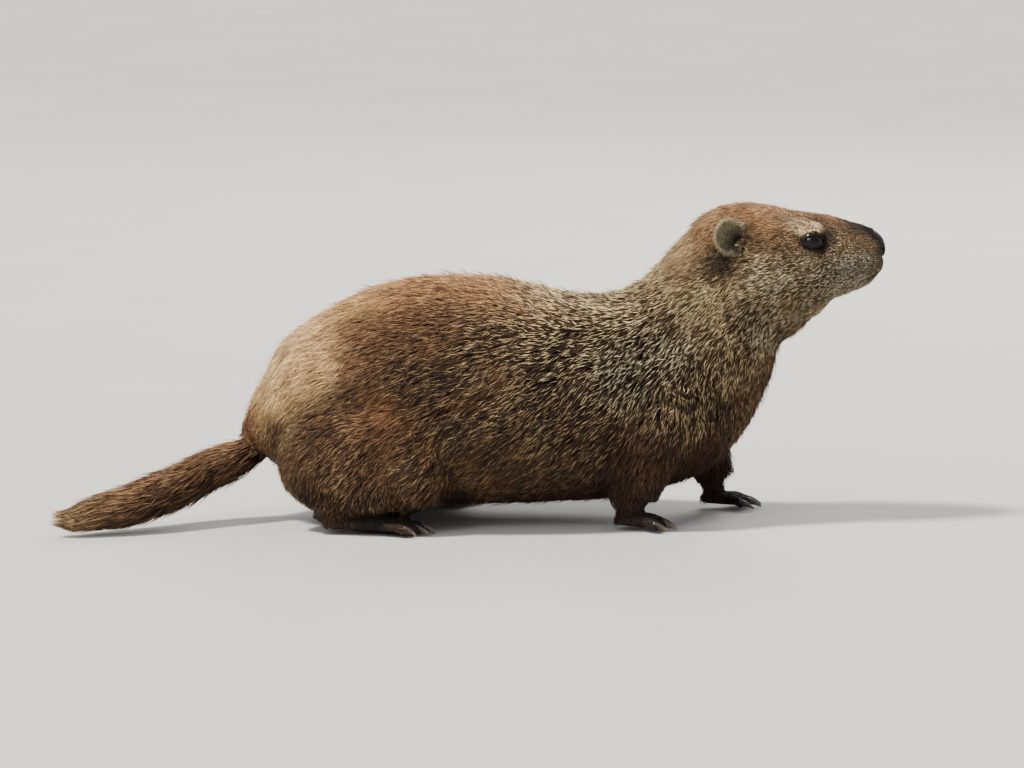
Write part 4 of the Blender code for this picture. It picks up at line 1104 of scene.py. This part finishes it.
# %% Shape the nose pad
# the path of a nostril over the pad, with its half-width
NOSTRIL = [((254.0, 2.5, 169.0), 1.2), ((252.8, 4.4, 168.4), 1.9),
           ((250.4, 6.4, 169.4), 1.7), ((247.6, 7.2, 171.6), 0.9)]
FLATTER_BEYOND = 253.2
nose_pad = primitive(bpy.ops.mesh.primitive_uv_sphere_add, "nose_pad",
                     segments=160, ring_count=120, radius=1.0)
pad = NOSE_MIDDLE + (read_points(nose_pad.data) * NOSE_RADII) @ NOSE_TURN.T
pad_normals = unit(((pad - NOSE_MIDDLE) @ NOSE_TURN / NOSE_RADII ** 2) @ NOSE_TURN.T)
folded = (pad - (0, NOSE_MIDDLE[1], 0)) * (1, 0, 1)
folded[:, 1] = np.abs(pad[:, 1] - NOSE_MIDDLE[1])
path = np.array([place for place, _ in NOSTRIL])
path = NOSE_MIDDLE + (path - NOSE_MIDDLE) / from_nose(path)[:, None]
path[:, 1] -= NOSE_MIDDLE[1]
fine = np.linspace(0, len(path) - 1, 40)
fine_width = np.interp(fine, range(len(path)), [width for _, width in NOSTRIL])
gaps = np.linalg.norm(folded[:, None] - at_steps(path, fine)[None], axis=2) / fine_width
nearest_gap = gaps.min(1)
groove = np.exp(-(folded[:, 1] / 0.55) ** 2) * (pad[:, 2] < 174) * (pad[:, 0] > NOSE_MIDDLE[0])
relief = -3.1 * np.exp(-nearest_gap ** 2.5) + 0.45 * np.exp(-((nearest_gap - 1.9) / 0.6) ** 2)
relief -= 0.6 * groove
pad += pad_normals * relief[:, None]
pad[:, 0] = np.minimum(pad[:, 0], FLATTER_BEYOND + (pad[:, 0] - FLATTER_BEYOND) * 0.6)
write_points(nose_pad.data, pad * MM)
print("nose pad:", len(nose_pad.data.vertices), "points")

# %% Lay the lips
LIP_POINTS = 49
lip_line, lip_out = on_skin(at_steps(mouth_line, np.linspace(0, len(mouth_line) - 1, LIP_POINTS)))
lip_share = 1 - np.abs(np.linspace(-1, 1, LIP_POINTS)) ** 3
lips = tube("lips", lip_line + lip_out * 0.15, 0.25 + 0.6 * lip_share, 12)
apply(lips, "SMOOTH", iterations=2, factor=0.5)
print("lips:", len(lips.data.vertices), "points")

# %% [markdown]
# ## Whiskers
# Fine stiff whiskers stand in rows on the swelling of the upper lip, with a few over the eye.
# Each is a closed tapering rod that leaves the skin sideways and bends back and down.

# %% Grow the whiskers
# place, outward lie, length
WHISKERS = [((243, 11, 163), (0.1, 1, 0.1), 20), ((240, 13, 165), (-0.1, 1, 0.25), 27),
            ((237, 15, 166), (-0.3, 1, 0.35), 33), ((242, 12, 160), (0.0, 1, -0.1), 24),
            ((239, 14, 161), (-0.2, 1, 0.05), 31), ((235.5, 16, 162), (-0.4, 1, 0.15), 38),
            ((241, 13, 157), (-0.1, 1, -0.3), 25), ((237.5, 15, 157.5), (-0.3, 1, -0.2), 33),
            ((234, 17, 158), (-0.5, 1, -0.1), 37), ((207, 22, 186), (-0.6, 0.7, 0.6), 17),
            ((203, 24, 186), (-0.8, 0.7, 0.5), 20)]
RINGS, ROUND = 10, 5
WHISKER_RADIUS = 0.26
BEND = np.array((-0.55, 0, -0.35))
whisker_points, whisker_faces, whisker_along = [], [], []
for side in (-1, 1):
    for place, lie, length in WHISKERS:
        place, lie = np.array(place) * (1, side, 1), unit(np.array(lie) * (1, side, 1))
        place = on_skin(place[None])[0][0]
        first = len(whisker_points)
        for k in range(RINGS):
            t = k / (RINGS - 1)
            heading = unit(lie + BEND * t * 1.6)
            middle = place + (lie * t + BEND * t ** 2 * 0.8) * length - lie * 0.6 * (k == 0)
            side_a = unit(np.cross(heading, (0.0, 0.0, 1.0)))
            side_b = np.cross(heading, side_a)
            for m in range(ROUND):
                turn_at = 2 * math.pi * m / ROUND
                out = side_a * math.cos(turn_at) + side_b * math.sin(turn_at)
                whisker_points.append(middle + out * (WHISKER_RADIUS * (1 - 0.85 * t)))
                whisker_along.append(t)
        for k in range(RINGS - 1):
            for m in range(ROUND):
                a, b = first + k * ROUND + m, first + k * ROUND + (m + 1) % ROUND
                whisker_faces.append((a, a + ROUND, b + ROUND, b))
        last = first + (RINGS - 1) * ROUND
        whisker_faces.append(tuple(range(first, first + ROUND)))
        whisker_faces.append(tuple(reversed(range(last, last + ROUND))))
whisker_mesh = bpy.data.meshes.new("whiskers")
whisker_mesh.from_pydata((np.array(whisker_points) * MM).tolist(), [], whisker_faces)
note(whisker_mesh, "along", whisker_along)
whiskers = link("whiskers", whisker_mesh)
in_edit_mode(whiskers, bpy.ops.mesh.normals_make_consistent, inside=False)
print("whiskers:", 2 * len(WHISKERS))

# %% [markdown]
# ## Claws
# A groundhog digs with long, blunt, slightly curved claws of dark horn. One claw is shaped as a
# tapering rod, flattened at its sides, and the rest are copies set on the toes.

# %% Shape one claw and set eighteen
CLAW = 9
steps = np.linspace(0, 1, 9)
claw_line = np.stack([steps - 0.25, steps * 0, (1.2 - 3.6 * steps ** 2) / CLAW], axis=1) * CLAW
first_claw = tube("claws", claw_line, 2.25 * (1 - 0.78 * steps ** 1.3), 16)
claw_shape = read_points(first_claw.data) / MM
middle_height = np.interp(claw_shape[:, 0], claw_line[:, 0], claw_line[:, 2])
claw_shape[:, 1] *= 0.74
claw_shape[:, 2] = middle_height + (claw_shape[:, 2] - middle_height) * 1.15
claws = []
for place, yaw, length in claw_places:
    claw = link("claw", first_claw.data.copy())
    turn = np.array(Matrix.Rotation(yaw, 3, "Z"))
    set_down = place + (claw_shape * (length / CLAW, 1, 1)) @ turn.T
    set_down[:, 2] = np.maximum(set_down[:, 2], 0.2)
    write_points(claw.data, set_down * MM)
    note(claw.data, "along", claw_shape[:, 0] / CLAW + 0.25)
    claws.append(claw)
bpy.data.objects.remove(first_claw)
claws = joined(claws, "claws")
for piece in (skin, nose_pad, lips, whiskers, claws, *eyes, *eyelids):
    piece.data.shade_smooth()
print("claws:", len(claw_places))

# %% [markdown]
# ## Skin and hair finishes
# Skin and hair read the same markings. A hair is dark at its root, takes the coat's colour, and
# turns to its tip colour over its last third.

# %% Give the skin its markings, and painted shade in the ear canals
skin_colour = read_stations(skin_points)[3] * 0.7
ear_skin = belongs_to_ear(skin_points)
# painted shade: the ear's skin darkens towards the canal, as in the shade of its hollow
for canal in CANAL:
    own = ear_skin & (np.sign(skin_points[:, 1]) == np.sign(canal[1]))
    from_canal = np.linalg.norm((skin_points[own] - canal) * (1, 0.5, 1), axis=1)
    canal_shade = np.clip((11 - from_canal) / 6, 0, 1)[:, None]
    skin_colour[own] = blend(GREY_CREAM * 0.5, SOOT * 0.4, canal_shade)
near_eye = np.clip(near_any(skin_points, EYES.values(), 10)[:, None] * 4, 0, 1)
skin_colour = blend(skin_colour, SOOT * 0.5, near_eye)
note(skin.data, "coat", skin_colour)
print("mean colour of the skin:", np.round(skin_colour.mean(0), 3))


# %% Shader helpers
def feed(tree, node, inputs):
    """Gives a node's inputs their constants, or joins them to another node's output."""
    for key, value in inputs.items():
        if isinstance(value, bpy.types.NodeSocket):
            tree.links.new(value, node.inputs[key])
        else:
            node.inputs[key].default_value = value


def add_node(tree, kind, inputs=None, **settings):
    node = tree.nodes.new("ShaderNode" + kind)
    for key, value in settings.items():
        setattr(node, key, value)
    feed(tree, node, inputs or {})
    return node


def new_material(name, roughness, gloss=0.5):
    material = bpy.data.materials.new(name)
    material.use_nodes = True
    tree = material.node_tree
    shader = tree.nodes["Principled BSDF"]
    feed(tree, shader, {"Roughness": roughness, "Specular IOR Level": gloss})
    return material, tree, shader


def marking(tree, name, output="Fac"):
    """What is written to the points of the mesh under this name."""
    return add_node(tree, "Attribute", attribute_name=name).outputs[output]


def texture(tree, kind, **inputs):
    """A texture over an object's own space."""
    place = add_node(tree, "TexCoord").outputs["Object"]
    return add_node(tree, "Tex" + kind, {"Vector": place, **inputs}).outputs[0]


def ranged(tree, value, source, target):
    """A value taken from one range to another."""
    limits = dict(zip(("From Min", "From Max", "To Min", "To Max"), (*source, *target)))
    return add_node(tree, "MapRange", {"Value": value, **limits}).outputs[0]


def multiplied(tree, colour, light):
    mix = add_node(tree, "Mix", {"Factor": 1.0, 6: colour, 7: light}, data_type="RGBA",
                   blend_type="MULTIPLY")
    return mix.outputs[2]


def bumped(tree, height, strength, distance):
    inputs = {"Height": height, "Strength": strength, "Distance": distance}
    return add_node(tree, "Bump", inputs).outputs[0]


def colour_steps(tree, value, steps):
    """The colour at a value, from (value, colour) pairs."""
    ramp = add_node(tree, "ValToRGB", {"Fac": value})
    while len(ramp.color_ramp.elements) < len(steps):
        ramp.color_ramp.elements.new(0.5)
    for element, (place, colour) in zip(ramp.color_ramp.elements, steps):
        element.position = place
        element.color = (*colour, 1)
    return ramp.outputs["Color"]


# %% The hair's banding, as a group
banding = bpy.data.node_groups.new("hair_banding", "ShaderNodeTree")
for label, way, kind in (("Coat", "INPUT", "Color"), ("Tip", "INPUT", "Color"),
                         ("Along", "INPUT", "Float"), ("Colour", "OUTPUT", "Color")):
    banding.interface.new_socket(label, in_out=way, socket_type="NodeSocket" + kind)
band_in = banding.nodes.new("NodeGroupInput").outputs
root_shade = ranged(banding, band_in["Along"], (0, 0.55), (0.35, 1))
tip_share = ranged(banding, band_in["Along"], (0.64, 0.78), (0, 1))
body_of_hair = multiplied(banding, band_in["Coat"], root_shade)
tipped = add_node(banding, "Mix", {"Factor": tip_share, 6: body_of_hair, 7: band_in["Tip"]},
                  data_type="RGBA")
feed(banding, banding.nodes.new("NodeGroupOutput"), {"Colour": tipped.outputs[2]})
print("banding sockets:", [item.name for item in banding.interface.items_tree])

# %% The materials of the coat and the skin
hair_finish, tree, shader = new_material("hair", 0.55, 0.2)
band = add_node(tree, "Group", node_tree=banding)
feed(tree, band, {"Coat": marking(tree, "coat", "Color"), "Tip": marking(tree, "tip", "Color"),
                  "Along": marking(tree, "along")})
patches = ranged(tree, texture(tree, "Noise", Scale=55.0, Detail=2.0), (0.3, 0.7), (0.78, 1.2))
feed(tree, shader, {"Base Color": multiplied(tree, band.outputs["Colour"], patches)})

skin_finish, tree, shader = new_material("skin_under_the_coat", 0.8, 0.2)
fuzz = texture(tree, "Noise", Scale=900.0, Detail=4.0)
fuzz_light = ranged(tree, fuzz, (0, 1), (0.5, 1.3))
feed(tree, shader, {"Base Color": multiplied(tree, marking(tree, "coat", "Color"), fuzz_light),
                    "Normal": bumped(tree, fuzz, 0.5, 0.0006)})
print("finishes:", hair_finish.name, skin_finish.name)

# %% [markdown]
# ## Wet, leathery and horny surfaces
# The eye is glossy like water over dark brown. The pad and the lips are black leather with a
# fine grain. Horn is smooth and dark, paler and more worn at its tip.

# %% The eye's material
eye_finish, tree, shader = new_material("eye", 0.06, 0.14)
uneven = ranged(tree, texture(tree, "Noise", Scale=1400.0), (0, 1), (-0.06, 0.06))
angle_now = add_node(tree, "Math", {0: marking(tree, "off_axis"), 1: uneven}).outputs[0]
pupil_iris_rim = [(0.30, paint(6, 5, 5)), (0.36, paint(19, 14, 12)), (0.66, paint(14, 11, 10)),
                  (0.74, paint(9, 7, 7)), (0.98, paint(34, 24, 20))]
feed(tree, shader, {"Base Color": colour_steps(tree, angle_now, pupil_iris_rim),
                    "Coat Weight": 0.12, "Coat Roughness": 0.02})
print("steps of the eye's colour:", len(pupil_iris_rim))


# %% Leather, horn, whiskers and the floor
def grained_finish(name, roughness, gloss, attribute, steps, grain_scale, grain_depth):
    """A surface coloured along an attribute or its own grain, with that grain in its relief."""
    material, tree, shader = new_material(name, roughness, gloss)
    grain = texture(tree, "Voronoi" if name == "leather" else "Noise", Scale=grain_scale)
    value = marking(tree, attribute) if attribute else grain
    feed(tree, shader, {"Base Color": colour_steps(tree, value, steps),
                        "Normal": bumped(tree, grain, 0.6, grain_depth)})
    return material


leather = grained_finish("leather", 0.5, 0.22, None,
                         [(0.0, paint(20, 16, 16)), (0.8, paint(9, 8, 8))], 1500, 0.0003)
lid_finish = grained_finish("eyelid", 0.55, 0.2, "outer",
                            [(0.0, paint(12, 9, 9)), (0.5, paint(16, 12, 11)),
                             (1.0, paint(30, 22, 17))], 1500, 0.0002)
horn = grained_finish("horn", 0.38, 0.5, "along",
                      [(0.0, paint(30, 24, 21)), (0.6, paint(52, 42, 35)),
                       (1.0, paint(104, 88, 70))], 500, 0.0001)
whisker_finish = grained_finish("whisker", 0.4, 0.5, "along",
                                [(0.0, paint(20, 16, 14)), (0.7, paint(58, 48, 38)),
                                 (1.0, paint(150, 135, 110))], 800, 0.00002)

floor_finish, tree, shader = new_material("studio_floor", 0.8)
cloud = texture(tree, "Noise", Scale=6.0)
pale = [(0.3, (0.385, 0.374, 0.352)), (0.7, (0.403, 0.392, 0.370))]
feed(tree, shader, {"Base Color": colour_steps(tree, cloud, pale)})

for finish, dressed in ((hair_finish, coat), (skin_finish, [skin]), (eye_finish, eyes),
                        (lid_finish, eyelids), (leather, [nose_pad, lips]), (horn, [claws]),
                        (whisker_finish, [whiskers]), (floor_finish, [floor])):
    for piece in dressed:
        piece.data.materials.append(finish)
print("materials:", len(bpy.data.materials))

# %% Put every piece on the animal's one body
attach(skin, "root")
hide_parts(*FLESH, *(limb + "_foot" for limb in FEET), "tail")
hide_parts("nose")
for eye, side in zip(eyes, EYE_TURNS):
    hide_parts(side + "_eye")
for piece in [*coat, nose_pad, lips, whiskers, claws, *eyes, *eyelids]:
    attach(piece, "root")
